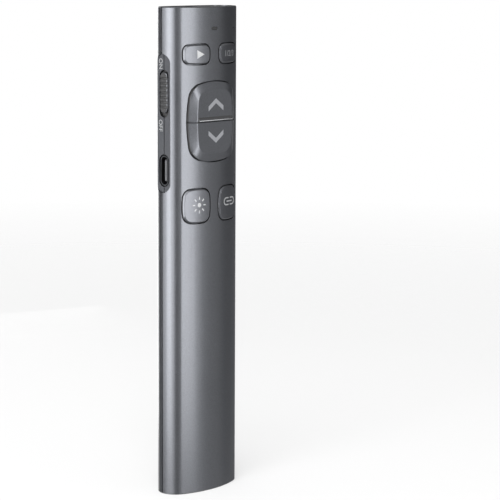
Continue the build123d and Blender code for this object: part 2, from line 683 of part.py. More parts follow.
def chassis():
    """Trough inside the rear shell: board rails, receiver bay, laser saddle and screw bosses."""
    inside = body(LINER, BAY_LOW, CHASSIS_HIGH)
    below_board = block((-FAR, FAR), (-FAR, BOARD_BACK_Q), (0, LENGTH))
    trough = (inside - body(LINER + CHASSIS_T, BAY_LOW - 1, FAR)) & below_board
    for side in (-1, 1):
        rail_x = sorted((side * (BOARD_HALF - RAIL_W), side * HALF))
        trough += block(rail_x, (RAIL_Q, BOARD_BACK_Q), (BAY_HIGH, CHASSIS_HIGH)) & inside
    trough += inside & block((-FAR, FAR), (-FAR, CAP_TOP_Q), (BAY_LOW, BAY_HIGH))
    saddle = (-SADDLE_HALF, SADDLE_HALF)
    saddle_z = (LASER_LOW + SADDLE_INSET, LASER_HIGH - SADDLE_INSET)
    trough += inside & block(saddle, (-FAR, BOARD_BACK_Q - SADDLE_GAP), saddle_z)
    for x, z in screw_places():
        trough += inside & post(x, z, -FAR, BOARD_BACK_Q, BOSS_R)
        hole_q = BOARD_BACK_Q - SCREW_DEPTH - SCREW_END_GAP
        trough -= post(x, z, hole_q, FAR, SCREW_R + SCREW_FIT)
    rib = (SIDE_RIB_X, SIDE_BOARD_X - SIDE_BOARD_T)
    trough += inside & block(rib, (-FAR, SIDE_BOARD_W / 2), SIDE_BOARD_SPAN)
    # room for the plug, the battery, the laser and the moving pieces at the sides
    plug = PLUG_W / 2 + BAY_GAP
    trough -= block((-plug, plug), (-FAR, PLUG_Q + PLUG_T / 2 + BAY_GAP), (0, PLUG_END + BAY_GAP))
    cell = BATTERY_W / 2 + BATTERY_SIDE_GAP
    cell_z = grown((BATTERY_LOW_Z, BATTERY_HIGH_Z), BATTERY_END_GAP)
    trough -= block((-cell, cell), (-FAR, FAR), cell_z)
    trough -= rod(0, LASER_Q, LASER_LOW - LASER_LENGTH, LENGTH, LASER_R + LASER_FIT)
    pad = grown((SCOOP_LOW, SCOOP_LOW + SCOOP_LENGTH), PAD_WALL + FIT)
    for x in ((-FAR, -PAD_X + FIT), (PAD_X - FIT, FAR)):
        trough -= block(x, (-FAR, FAR), pad)
    slide = CARRIER_L / 2 + SWITCH_TRAVEL + SLIDE_END_GAP
    slide_x = (-FAR, -BOARD_HALF + RAIL_W + FIT)
    trough -= block(slide_x, (-CARRIER_W / 2 - SLIDE_END_GAP, FAR), (KNOB_Z - slide, KNOB_Z + slide))
    for x, z in notch_spaces():
        if x[0] < 0:
            trough -= block(x, (-SOCKET_W / 2 - FIT, FAR), z)
    side_x = (SIDE_BOARD_X - SIDE_BOARD_T, FAR)
    return trough - block(side_x, (-SIDE_BOARD_W / 2 - FIT, FAR), grown(SIDE_BOARD_SPAN, FIT))


def main_board():
    """Circuit board with notches for the edge parts and holes for its screws."""
    outline = block((-BOARD_HALF, BOARD_HALF), (BOARD_BACK_Q, BOARD_TOP_Q), (BOARD_LOW, BOARD_HIGH))
    outline = chamfer(outline.edges().filter_by(Axis.Y), BOARD_CORNER)
    for x, z in notch_spaces():
        outline -= block(x, (0, FRONT_RISE), z)
    for x, z in screw_places():
        outline -= post(x, z, 0, FRONT_RISE, SCREW_R + SCREW_HOLE_GAP)
    return outline


def board_screws():
    """Four cross-head screws, one group."""
    screws = []
    head_top = BOARD_TOP_Q + SCREW_HEAD_T
    for x, z in screw_places():
        screw = post(x, z, BOARD_TOP_Q, head_top, SCREW_HEAD_R)
        screw = chamfer(screw.faces().sort_by(Axis.Y)[0].edges(), SCREW_HEAD_BEVEL)
        screw += post(x, z, BOARD_BACK_Q - SCREW_DEPTH, BOARD_TOP_Q, SCREW_R)
        for span in ((CROSS_L, CROSS_W), (CROSS_W, CROSS_L)):
            screw -= front_prism(Pos(x, z) * Rectangle(*span), head_top - CROSS_DEPTH, FAR)
        screws.append(screw)
    return Compound(children=[s.solid() for s in screws])


def on_board(x, z, width, length, height, edge=CHIP_EDGE):
    """Chip or can on the board's front, with a small bevel on its top edge."""
    top = BOARD_TOP_Q + height
    chip = block((x - width / 2, x + width / 2), (BOARD_TOP_Q, top), (z - length / 2, z + length / 2))
    return chamfer(chip.faces().sort_by(Axis.Y)[0].edges(), edge)


def board_capacitors():
    """Small two-ended parts in rows beside the chips, one group of separate solids."""
    pieces = []
    for row in range(CAPACITOR_ROWS):
        z = CAPACITOR_LOW_Z + row * CAPACITOR_PITCH
        for side in (-1, 1):
            pieces.append(on_board(side * CAPACITOR_X, z, **CAPACITOR).solid())
    return Compound(children=pieces)


# ---------------------------------------------------------------- battery
def battery():
    """Flat pouch cell with rounded long edges."""
    half = BATTERY_W / 2
    z = (BATTERY_LOW_Z, BATTERY_HIGH_Z)
    cell = block((-half, half), (BATTERY_TOP_Q - BATTERY_T, BATTERY_TOP_Q), z)
    return fillet(cell.edges().filter_by(Axis.Z), BATTERY_EDGE_R)


def battery_tape():
    middle = (BATTERY_LOW_Z + BATTERY_HIGH_Z) / 2
    z = (middle - TAPE_L / 2, middle + TAPE_L / 2)
    return block((-TAPE_W / 2, TAPE_W / 2), (BATTERY_TOP_Q, BOARD_BACK_Q), z)


def battery_connector():
    """Small plug-in header under the board."""
    low = BATTERY_HIGH_Z + LEAD_L
    q = (LEAD_Q - HEADER_DROP, BOARD_BACK_Q)
    header = block((-HEADER_W / 2, HEADER_W / 2), q, (low, low + HEADER_L))
    return chamfer(header.edges().filter_by(Axis.Z), HEADER_BEVEL)


def battery_leads():
    """Two short insulated wires between the cell and its header."""
    z = (BATTERY_HIGH_Z, BATTERY_HIGH_Z + LEAD_L)
    return Compound(children=[rod(x, LEAD_Q, *z, LEAD_R).solid() for x in (-LEAD_X, LEAD_X)])


# ---------------------------------------------------------------- laser
def laser_barrel():
    """Brass tube with a rim in front of the lens."""
    tube = rod(0, LASER_Q, LASER_LOW, LASER_HIGH, LASER_R)
    tube = chamfer(tube.edges().group_by(Axis.Z)[-1], LASER_BEVEL)
    tube -= rod(0, LASER_Q, LASER_LOW - 1, LASER_HIGH - LASER_RIM_T, LASER_BORE)
    return tube - rod(0, LASER_Q, LASER_LOW, LASER_HIGH + 1, LASER_BORE - LASER_RIM)


def laser_diode():
    """Metal can with a wider base, in the barrel's rear end."""
    low = LASER_LOW + DIODE_INSET
    step = low + DIODE_BASE_T
    base = rod(0, LASER_Q, low, step, LASER_BORE - OPTIC_FIT)
    return base + rod(0, LASER_Q, step, step + DIODE_CAN_L, DIODE_CAN_R)


def laser_lens():
    """Plano-convex lens against the barrel's rim."""
    seat = LASER_HIGH - LASER_RIM_T
    disc = rod(0, LASER_Q, seat - LENS_T, seat, LASER_BORE - OPTIC_FIT)
    return chamfer(disc.edges().group_by(Axis.Z)[0], LENS_BEVEL)


# ---------------------------------------------------------------- status light
def light_pipe():
    """Clear slug that fills the light slot, with a flange glued under the shell."""
    place = Pos(0, LIGHT_Z)
    slug = RectangleRounded(LIGHT_W - 2 * FIT, LIGHT_H - 2 * FIT, LIGHT_CORNER - FIT)
    low = BOARD_TOP_Q + LIGHT_CHIP_T + LIGHT_CHIP_GAP
    stem = front_prism(place * slug, low, FAR) & body(FIT, 0, LENGTH)
    plate = Rectangle(LIGHT_W + 2 * LIGHT_FLANGE, LIGHT_H + 2 * LIGHT_FLANGE)
    flange = front_prism(place * plate, FRONT_RISE - LINER - LIGHT_FLANGE_T, FAR)
    return stem + (flange & body(LINER, 0, LENGTH))


def status_light():
    return on_board(0, LIGHT_Z, LIGHT_CHIP_W, LIGHT_CHIP_L, LIGHT_CHIP_T)


# ---------------------------------------------------------------- receiver
def receiver_cap():
    """Grip end of the receiver: part of the clicker's tail and back, with a nail groove."""
    cap = cap_space(0, RIM_INSET, RIM_INSET + CAP_LENGTH) & body(0, 0, LENGTH)
    cap -= plug_block(PLUG_FIT, (RIM_INSET + CAP_FACE_T, FAR))
    groove_y = SEAM_Y + BACK_DEPTH + NAIL_GROOVE_R - NAIL_GROOVE_DEPTH
    groove = Pos(0, groove_y, NAIL_GROOVE_Z) * Rot(0, 90, 0) * Cylinder(NAIL_GROOVE_R, NAIL_GROOVE_L)
    return cap - groove


def plug_block(grow, z):
    """The plug's outside, grown by grow, between two heights."""
    half = PLUG_W / 2
    return block(grown((-half, half), grow), grown((PLUG_Q - PLUG_T / 2, PLUG_Q + PLUG_T / 2), grow), z)


def receiver_plug():
    """Folded metal sleeve of the receiver's plug, with its two latch windows."""
    sleeve = plug_block(0, (PLUG_LOW, PLUG_END))
    sleeve = fillet(sleeve.edges().filter_by(Axis.Z), PLUG_CORNER)
    sleeve -= plug_block(-PLUG_WALL, (PLUG_LOW - 1, FAR))
    window = PLUG_END - LATCH_FROM_END
    for side in (-1, 1):
        x = grown((side * LATCH_X, side * LATCH_X), LATCH_W / 2)
        sleeve -= block(x, (-FAR, FAR), grown((window, window), LATCH_L / 2))
    return sleeve


def receiver_board():
    """Narrow circuit board inside the sleeve; its free end carries the contacts."""
    half = PLUG_W / 2 - PLUG_WALL - FIT
    z = (PLUG_LOW + CORE_LOW_GAP, PLUG_END - CONTACT_RECESS)
    return block((-half, half), (CONTACT_Q, CONTACT_Q + CONTACT_T), z)


def receiver_core():
    """Moulded block that backs the board and fills the sleeve's lower half."""
    half = PLUG_W / 2 - PLUG_WALL - FIT
    low = PLUG_Q - PLUG_T / 2 + PLUG_WALL + FIT / 2
    return block((-half, half), (low, CONTACT_Q), (PLUG_LOW + CORE_LOW_GAP, PLUG_END - CORE_RECESS))


def bay_magnet():
    """Small magnet in the bay's end wall that holds the receiver in."""
    q = (PLUG_Q - MAGNET_H / 2, PLUG_Q + MAGNET_H / 2)
    return block((-MAGNET_W / 2, MAGNET_W / 2), q, (PLUG_END + BAY_GAP, BAY_HIGH))


# ---------------------------------------------------------------- write every piece
def pieces():
    blank = shell_blank()
    page = page_block()
    yield "front_shell", front_shell(blank)
    yield "rear_shell", rear_shell(blank)
    yield "tail_plate", tail_plate()
    yield "head_plate", head_plate()
    yield "laser_window", laser_window()
    presses = []
    for name, x, z, outline in key_places():
        if name != "page":
            yield f"{name}_key", small_key(x, z, outline)
            presses.append((name, x, z))
    yield "page_up_key", page_key(page, 1) + ridge()
    yield "page_down_key", page_key(page, -1)
    presses += [("page_up", 0, page_press_z(1)), ("page_down", 0, page_press_z(-1))]
    for name, x, z in presses:
        yield f"{name}_switch", tact_switch(x, z)
        yield f"{name}_plunger", plunger(x, z)
    for name, step in (("volume_up", 1), ("volume_down", -1)):
        yield f"{name}_key", volume_key(step)
        yield f"{name}_switch", side_switch(step)
        yield f"{name}_plunger", side_plunger(step)
    yield "side_board", side_board()
    yield "switch_knob", switch_knob()
    yield "switch_carrier", switch_carrier()
    yield "slide_switch_lever", slide_switch_lever()
    yield "slide_switch", slide_switch()
    yield "charging_socket_shell", charging_socket_shell()
    yield "charging_socket_tongue", charging_socket_tongue()
    yield "chassis", chassis() - bay_magnet()
    yield "main_board", main_board()
    yield "board_screws", board_screws()
    yield "radio_shield", on_board(0, SHIELD_Z, **SHIELD)
    yield "controller_chip", on_board(0, CHIP_Z, **CONTROLLER)
    yield "charger_chip", on_board(CHARGER_X, SOCKET_Z + CHARGER_ABOVE_SOCKET, **CHARGER)
    yield "crystal", on_board(CRYSTAL_X, CHIP_Z, **CRYSTAL)
    yield "board_capacitors", board_capacitors()
    yield "battery", battery()
    yield "battery_tape", battery_tape()
    yield "battery_connector", battery_connector()
    yield "battery_leads", battery_leads()
    yield "laser_barrel", laser_barrel()
    yield "laser_diode", laser_diode()
    yield "laser_lens", laser_lens()
    yield "light_pipe", light_pipe()
    yield "status_light", status_light()
    yield "receiver_cap", receiver_cap()
    yield "receiver_plug", receiver_plug()
    yield "receiver_board", receiver_board()
    yield "receiver_core", receiver_core()
    yield "bay_magnet", bay_magnet()


os.makedirs("parts", exist_ok=True)
for node, shape in pieces():
    export_step(shape, f"parts/{node}.step")
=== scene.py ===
"""A wireless presentation clicker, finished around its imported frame.

Lengths are in metres. The clicker stands on its tail, with +Z towards its head and its front
keys towards -Y.
"""

import json
from math import cos, pi, radians, sin, tan

import bmesh
import bpy
from bpy.props import FloatProperty, FloatVectorProperty, PointerProperty
from mathutils import Matrix, Vector
from mathutils.bvhtree import BVHTree

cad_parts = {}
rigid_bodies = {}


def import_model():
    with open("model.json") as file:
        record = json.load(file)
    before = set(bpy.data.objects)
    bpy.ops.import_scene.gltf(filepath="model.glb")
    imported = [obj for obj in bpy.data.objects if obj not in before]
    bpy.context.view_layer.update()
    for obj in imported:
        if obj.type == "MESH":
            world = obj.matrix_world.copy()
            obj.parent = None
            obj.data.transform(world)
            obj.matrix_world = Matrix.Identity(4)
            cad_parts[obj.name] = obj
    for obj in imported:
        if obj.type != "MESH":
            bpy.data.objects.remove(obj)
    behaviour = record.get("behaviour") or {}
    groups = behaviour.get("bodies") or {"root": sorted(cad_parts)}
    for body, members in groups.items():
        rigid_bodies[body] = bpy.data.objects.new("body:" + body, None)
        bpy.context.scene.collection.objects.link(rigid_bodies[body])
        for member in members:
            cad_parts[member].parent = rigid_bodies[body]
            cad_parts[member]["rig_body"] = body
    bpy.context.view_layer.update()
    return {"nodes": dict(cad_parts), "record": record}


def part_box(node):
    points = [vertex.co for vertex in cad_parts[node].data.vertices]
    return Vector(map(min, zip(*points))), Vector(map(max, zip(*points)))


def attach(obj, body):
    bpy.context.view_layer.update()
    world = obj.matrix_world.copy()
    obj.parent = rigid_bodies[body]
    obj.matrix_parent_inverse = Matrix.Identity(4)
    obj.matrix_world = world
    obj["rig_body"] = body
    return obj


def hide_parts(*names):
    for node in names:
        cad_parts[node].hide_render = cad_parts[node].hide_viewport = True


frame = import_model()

bl_info = {
    "name": "Presentation Clicker",
    "version": (1, 0, 0),
    "blender": (4, 5, 0),
    "location": "3D Viewport > Sidebar > Clicker",
    "description": "Finishes, marks and a small studio for a wireless presentation clicker",
    "category": "Object",
}

MM = 0.001
SLOT_OF = {part["node"]: part["material_slot"] for part in frame["record"]["subparts"]}

UP = Vector((0, 0, 1))
FRONT = Vector((0, -1, 0))
LEFT = Vector((-1, 0, 0))
RIGHT = Vector((1, 0, 0))
# turns a mark that is drawn in X and Y so that it faces the front, the left or the right
FACING_FRONT = Matrix.Rotation(radians(90), 4, "X")
FACING_LEFT = Matrix(((0, 0, -1, 0), (0, -1, 0, 0), (-1, 0, 0, 0), (0, 0, 0, 1)))
FACING_RIGHT = Matrix(((0, 0, 1, 0), (0, -1, 0, 0), (1, 0, 0, 0), (0, 0, 0, 1)))

MERGE_DISTANCE = 1e-6
FLAT_ANGLE = radians(0.1)  # triangles that meet flatter than this become one face
CORNER_ANGLE = radians(25)  # edges sharper than this are rounded
CORNER_SEGMENTS = 2
SHADE_ANGLE = radians(32)
PROBE_REACH = 0.03  # how far in front of a surface a mark starts before it is laid on it
UNPAINTED_AND_SHADED = "bare"  # the attribute that is 1 on unpainted dark plastic faces, whose colour also paints shade in gaps

BLACK = (0.0, 0.0, 0.0)
# the azimuth and half the apparent width, in degrees, of what stands round the clicker
STRIPS = (("left_glow", -91, 36), ("left_strip", -82, 20), ("right_strip", 1, 15),
          ("rear_strip", 160, 17))
CARDS = (("right_card", 102, 44), ("left_card", -152, 18), ("middle_card", -44, 9))


# ---------------------------------------------------------------- sizes and colours to change
def length_setting(name, description, default):
    return FloatProperty(
        name=name, description=description, default=default, min=0.0, unit="LENGTH", precision=5)


def angle_setting(name, description, degrees):
    return FloatProperty(
        name=name, description=description, default=radians(degrees), subtype="ANGLE")


def light_setting(name, description, default):
    return FloatProperty(name=name, description=description, default=default, min=0.0)


def colour_setting(name, description, default):
    return FloatVectorProperty(
        name=name, description=description, subtype="COLOR", size=3, min=0.0, max=1.0,
        default=default)


class ClickerSizes(bpy.types.PropertyGroup):
    """Small sizes of the finished clicker."""

    shell_edge: length_setting("Shell edge", "Rounding of the shells' edges", 0.12 * MM)
    key_edge: length_setting("Key edge", "Rounding of the keys' edges", 0.1 * MM)
    mark_height: length_setting("Mark height", "How far the printed marks stand out", 0.02 * MM)
    mark_depth: length_setting(
        "Mark depth", "How far the printed marks reach into the surface", 0.02 * MM)
    chevron_stroke: length_setting(
        "Chevron stroke", "Height of the page marks' strokes", 1.42 * MM)
    icon_stroke: length_setting("Icon stroke", "Width of the small icons' lines", 0.36 * MM)
    side_letters: length_setting(
        "Side letters", "Height of the letters beside the slide switch", 1.45 * MM)
    key_number: length_setting(
        "Key number", "Height of the numbers on the upper right key", 1.75 * MM)
    key_rib: length_setting("Volume key rib", "Width of a rib on the volume keys", 0.22 * MM)


class ClickerColours(bpy.types.PropertyGroup):
    """Colours of the finished clicker."""

    paint: colour_setting("Paint", "Satin gunmetal of shells and keys", (0.080, 0.083, 0.091))
    ink: colour_setting("Ink", "The brightest marks", (0.80, 0.81, 0.82))
    soft_ink: colour_setting("Soft ink", "Marks of a lower key and the sides", (0.56, 0.57, 0.58))
    grey_ink: colour_setting("Grey ink", "Marks of the page keys", (0.42, 0.43, 0.46))
    dim_ink: colour_setting("Dim ink", "Numbers of the upper right key", (0.30, 0.305, 0.32))
    moulding: colour_setting("Moulding", "Tail plate and receiver", (0.085, 0.09, 0.10))
    dark: colour_setting("Dark plastic", "Inner mouldings", (0.012, 0.012, 0.013))
    steel: colour_setting("Steel", "Bright stampings", (0.56, 0.56, 0.55))
    brass: colour_setting("Brass", "Laser barrel", (0.56, 0.38, 0.13))
    gold: colour_setting("Gold", "Contacts", (0.70, 0.46, 0.16))
    mask: colour_setting("Solder mask", "Circuit boards", (0.010, 0.075, 0.035))


class StudioSettings(bpy.types.PropertyGroup):
    """Camera and lights."""

    azimuth: angle_setting("Camera azimuth", "Direction of the camera round the clicker", -46.9)
    elevation: angle_setting("Camera elevation", "Height of the camera over the horizon", 8.61)
    roll: angle_setting("Camera roll", "Turn of the camera about its own axis", 0.27)
    distance: length_setting("Camera distance", "Distance from the camera to its aim", 0.6)
    lens: FloatProperty(
        name="Lens", description="Focal length in millimetres", default=143.35, unit="CAMERA")
    key_light: light_setting("Key light", "Radiance of the soft light above", 4.0)
    left_glow: light_setting("Left glow", "Radiance of the wide light on the left", 2.6)
    left_strip: light_setting("Left strip", "Radiance of the strip on the left", 4.2)
    right_strip: light_setting("Right strip", "Radiance of the narrow strip in front", 5.5)
    rear_strip: light_setting("Rear strip", "Radiance of the strip behind", 2.5)
    cards: colour_setting(
        "Cards", "Grey cards whose reflections darken the edges", (0.6, 0.61, 0.63))
    fill: light_setting("Fill", "Strength of the surrounding light on matt surfaces", 0.5)
    floor: colour_setting("Floor", "Colour of the floor", (0.86, 0.86, 0.86))
    floor_glow: colour_setting(
        "Floor glow", "Light that the floor adds for the camera alone", (0.24, 0.24, 0.24))


# ---------------------------------------------------------------- shader building
class Wire:
    """One output in a material's nodes; arithmetic on it adds Math nodes."""

    def __init__(self, finish, socket):
        self.finish = finish
        self.socket = socket

    def maths(self, operation, *values):
        return self.finish.node(
            "ShaderNodeMath", {"operation": operation}, dict(enumerate(values)))

    def __add__(self, other):
        return self.maths("ADD", self, other)

    def __sub__(self, other):
        return self.maths("SUBTRACT", self, other)

    def __rsub__(self, other):
        return self.maths("SUBTRACT", other, self)

    def __mul__(self, other):
        return self.maths("MULTIPLY", self, other)

    def __mod__(self, other):
        return self.maths("FLOORED_MODULO", self, other)

    def __lt__(self, other):
        return self.maths("LESS_THAN", self, other)

    def __gt__(self, other):
        return self.maths("GREATER_THAN", self, other)

    __radd__ = __add__
    __rmul__ = __mul__


class Finish:
    """A material on a Principled shader, built node by node."""

    def __init__(self, name, constants=None):
        self.material = bpy.data.materials.new(name)
        self.material.use_nodes = True
        self.tree = self.material.node_tree
        self.shader = self.tree.nodes["Principled BSDF"]
        for socket, value in (constants or {}).items():
            self.shader.inputs[socket].default_value = value
        self.where = self.node("ShaderNodeTexCoord", output="Object")

    def node(self, kind, settings=None, inputs=None, output=0):
        """Adds a node: its settings first, then the values or wires of its sockets."""
        made = self.tree.nodes.new(kind)
        for setting, value in (settings or {}).items():
            setattr(made, setting, value)
        for socket, value in (inputs or {}).items():
            self.connect(made.inputs[socket], value)
        return Wire(self, made.outputs[output])

    def connect(self, socket, value):
        if isinstance(value, Wire):
            self.tree.links.new(value.socket, socket)
        else:
            socket.default_value = value

    def feed(self, socket, value):
        self.connect(self.shader.inputs[socket], value)

    def noise(self, scale, detail=2.0, where=None):
        inputs = {"Vector": where or self.where, "Scale": scale, "Detail": detail}
        return self.node("ShaderNodeTexNoise", None, inputs)

    def cells(self, scale, output="Distance"):
        inputs = {"Vector": self.where, "Scale": scale}
        return self.node("ShaderNodeTexVoronoi", None, inputs, output)

    def bands(self, across, scale, distortion, **inputs):
        """Parallel bands across an axis."""
        inputs = {"Vector": self.where, "Scale": scale, "Distortion": distortion,
                  "Detail": 1.0, **inputs}
        return self.node("ShaderNodeTexWave", {"bands_direction": across}, inputs, "Fac")

    def stretched(self, scale):
        """Object coordinates scaled differently along each axis."""
        return self.node("ShaderNodeMapping", None, {"Vector": self.where, "Scale": scale})

    def axis(self, name):
        return self.node("ShaderNodeSeparateXYZ", None, {0: self.where}, name)

    def blend(self, factor, low, high):
        """Colour between low and high."""
        colours = [value if isinstance(value, Wire) else (*value, 1.0) for value in (low, high)]
        inputs = {0: factor, 6: colours[0], 7: colours[1]}  # the colour sockets of a Mix node
        return self.node("ShaderNodeMix", {"data_type": "RGBA"}, inputs, 2)

    def spread(self, value, low, high):
        """Value between low and high taken to 0..1, and held there outside."""
        inputs = {"Value": value, "From Min": low, "From Max": high}
        return self.node("ShaderNodeMapRange", None, inputs)

    def bump(self, height, depth, strength=1.0):
        inputs = {"Height": height, "Distance": depth, "Strength": strength}
        self.feed("Normal", self.node("ShaderNodeBump", None, inputs))


def shade(colour, factor):
    return tuple(min(1.0, part * factor) for part in colour)


# ---------------------------------------------------------------- finishes
def satin_paint(colours):
    """Gunmetal paint: flakes under a thin satin lacquer; unpainted dark faces paint gap shade."""
    paint = Finish("satin_gunmetal", {"Coat Weight": 0.08, "Coat Roughness": 0.25})
    flakes = paint.cells(scale=7000.0, output="Color")
    sparkle = paint.node("ShaderNodeSeparateColor", None, {0: flakes})
    cloud = paint.noise(scale=45.0, detail=3.0)
    tone = paint.spread(0.75 * sparkle + 0.25 * cloud, low=0.0, high=1.0)
    # 1 on unpainted dark plastic faces; their dark colour is partly painted shade in the gaps
    bare = paint.node("ShaderNodeAttribute", {"attribute_name": UNPAINTED_AND_SHADED}, output="Fac")
    colour = paint.blend(tone, shade(colours.paint, 0.82), shade(colours.paint, 1.18))
    paint.feed("Base Color", paint.blend(bare, colour, colours.dark))
    paint.feed("Metallic", 0.85 - 0.85 * bare)
    paint.feed("Roughness", 0.28 + 0.05 * sparkle + 0.05 * cloud + 0.25 * bare)
    paint.bump(paint.noise(scale=5200.0, detail=3.0), depth=4e-6, strength=0.5)
    return paint.material


def moulded(name, colour, roughness, grain=0.16 * MM):
    """Moulded plastic with a fine eroded grain and faint flow marks."""
    plastic = Finish(name, {"Specular IOR Level": 0.45})
    pits = plastic.cells(scale=1 / grain)
    cloud = plastic.noise(scale=120.0, detail=3.0)
    plastic.feed("Base Color", plastic.blend(cloud, shade(colour, 0.8), shade(colour, 1.25)))
    plastic.feed("Roughness", roughness + 0.12 * pits - 0.05 * cloud)
    relief = pits + 0.4 * plastic.noise(scale=0.5 / grain, detail=3.0)
    plastic.bump(relief, depth=grain * 0.05)
    return plastic.material


def stamped(name, colour, along=(6000.0, 6000.0, 260.0), roughness=0.24):
    """Rolled and stamped metal: fine drawing lines, with duller patches."""
    metal = Finish(name, {"Metallic": 1.0})
    lines = metal.noise(scale=1.0, detail=3.0, where=metal.stretched(along))
    dull = metal.noise(scale=420.0, detail=3.0)
    metal.feed("Base Color", metal.blend(dull, shade(colour, 0.86), shade(colour, 1.08)))
    metal.feed("Roughness", roughness + 0.16 * lines + 0.08 * dull)
    metal.bump(lines, depth=3e-6, strength=0.6)
    return metal.material


def board_mask(colour):
    """Solder mask over copper tracks, with tinned pads and small holes painted black as shade."""
    tin, hole_shade_colour = (0.55, 0.52, 0.45), (0.01, 0.01, 0.01)
    board = Finish("circuit_board", {"Specular IOR Level": 0.6})
    waves = board.bands("X", scale=190.0, distortion=9.0, **{"Detail Scale": 0.6})
    track = board.spread(waves, low=0.62, high=0.7)
    pads = board.cells(scale=430.0)
    pad = board.spread(pads, low=0.2, high=0.17)
    hole = board.spread(pads, low=0.07, high=0.05)
    green = board.blend(track, colour, shade(colour, 2.0))
    # the black holes are painted shade, since a hole here is only a dip in the bump
    board.feed("Base Color", board.blend(hole, board.blend(pad, green, tin), hole_shade_colour))
    board.feed("Metallic", pad - hole)
    board.feed("Roughness", 0.34 + 0.05 * board.noise(scale=900.0) - 0.08 * track)
    board.bump(0.6 * track + pad - 2.0 * hole, depth=2e-5, strength=0.7)
    return board.material


def resin(colour):
    """Black moulded resin with a dusty speckle."""
    chip = Finish("chip_resin", {"Specular IOR Level": 0.4})
    speck = chip.noise(scale=6000.0, detail=3.0)
    chip.feed("Base Color", chip.blend(speck, shade(colour, 0.9), shade(colour, 2.2)))
    chip.feed("Roughness", 0.5 + 0.2 * speck)
    chip.bump(speck, depth=8e-6, strength=0.6)
    return chip.material


def ceramic():
    """Fired ceramic parts with tinned ends, repeated along the board."""
    pale, brown, tin = (0.42, 0.29, 0.17), (0.30, 0.19, 0.10), (0.66, 0.65, 0.62)
    rows = 3
    part_length, cap = 2.0 * MM, 0.45 * MM
    low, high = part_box("board_capacitors")
    pitch = (high.z - low.z - part_length) / (rows - 1)
    chip = Finish("capacitor_ceramic")
    local = (chip.axis("Z") - low.z) % pitch
    ends = 1.0 - (local > cap) * (local < part_length - cap)
    grain = chip.noise(scale=5000.0, detail=3.0)
    chip.feed("Base Color", chip.blend(ends, chip.blend(grain, brown, pale), tin))
    chip.feed("Metallic", ends)
    chip.feed("Roughness", 0.42 + 0.15 * grain)
    chip.bump(grain, depth=6e-6)
    return chip.material


def pouch_foil():
    """Crinkled aluminium laminate, painted darker in its low folds as shade."""
    dark, bright = (0.42, 0.43, 0.45), (0.68, 0.69, 0.71)
    foil = Finish("battery_foil", {"Metallic": 1.0})
    folds = foil.noise(scale=260.0, detail=4.0)
    fine = foil.noise(scale=1900.0, detail=2.0)
    foil.feed("Base Color", foil.blend(folds, dark, bright))
    foil.feed("Roughness", 0.28 + 0.2 * fine)
    foil.bump(folds + 0.15 * fine, depth=1.2e-4, strength=0.8)
    return foil.material


def foam():
    """Dark foam with open pores, painted darker in their pits as shade."""
    dark, pale = (0.03, 0.03, 0.032), (0.12, 0.12, 0.125)
    tape = Finish("foam_tape")
    pores = tape.cells(scale=3600.0)
    tape.feed("Base Color", tape.blend(pores, dark, pale))
    tape.feed("Roughness", 0.75 + 0.2 * pores)
    tape.bump(pores, depth=8e-5)
    return tape.material


def turned_brass(colour):
    """Turned brass with tool rings round the barrel."""
    brass = Finish("turned_brass", {"Metallic": 1.0})
    rings = brass.bands("Z", scale=2600.0, distortion=0.6)
    tarnish = brass.noise(scale=600.0, detail=3.0)
    brass.feed("Base Color", brass.blend(tarnish, shade(colour, 0.75), shade(colour, 1.15)))
    brass.feed("Roughness", 0.2 + 0.12 * rings + 0.12 * tarnish)
    brass.bump(rings, depth=4e-6, strength=0.6)
    return brass.material


def clear(name, colour, transmission, roughness):
    """Polished clear plastic or glass, slightly uneven."""
    pane = Finish(name, {"Transmission Weight": transmission, "IOR": 1.49, "Coat Weight": 0.3})
    haze = pane.noise(scale=900.0, detail=3.0)
    pane.feed("Base Color", pane.blend(haze, shade(colour, 0.85), shade(colour, 1.1)))
    pane.feed("Roughness", roughness + 0.05 * haze)
    pane.bump(haze, depth=3e-6, strength=0.4)
    return pane.material


def plated(name, colour):
    """Bright plating with faint clouding and fine scratches."""
    along = (9000.0, 900.0, 900.0)
    plate = Finish(name, {"Metallic": 1.0})
    cloud = plate.noise(scale=700.0, detail=4.0)
    scratch = plate.noise(scale=1.0, detail=2.0, where=plate.stretched(along))
    plate.feed("Base Color", plate.blend(cloud, shade(colour, 0.88), shade(colour, 1.08)))
    plate.feed("Roughness", 0.14 + 0.1 * cloud + 0.08 * scratch)
    plate.bump(scratch, depth=2e-6, strength=0.4)
    return plate.material


def printed(name, colour):
    """Screen-printed ink: slightly mottled, with a fine relief."""
    ink = Finish(name, {"Specular IOR Level": 0.35})
    mottle = ink.noise(scale=4200.0, detail=3.0)
    ink.feed("Base Color", ink.blend(mottle, shade(colour, 0.9), shade(colour, 1.06)))
    ink.feed("Roughness", 0.5 + 0.12 * mottle)
    ink.bump(mottle, depth=4e-6, strength=0.5)
    return ink.material


def sleeve(name, colour):
    """Soft wire insulation with shallow draw lines."""
    along = (9000.0, 9000.0, 500.0)
    rubber = Finish(name)
    lines = rubber.noise(scale=1.0, detail=2.0, where=rubber.stretched(along))
    rubber.feed("Base Color", rubber.blend(lines, shade(colour, 0.8), shade(colour, 1.2)))
    rubber.feed("Roughness", 0.42 + 0.15 * lines)
    rubber.bump(lines, depth=8e-6)
    return rubber.material


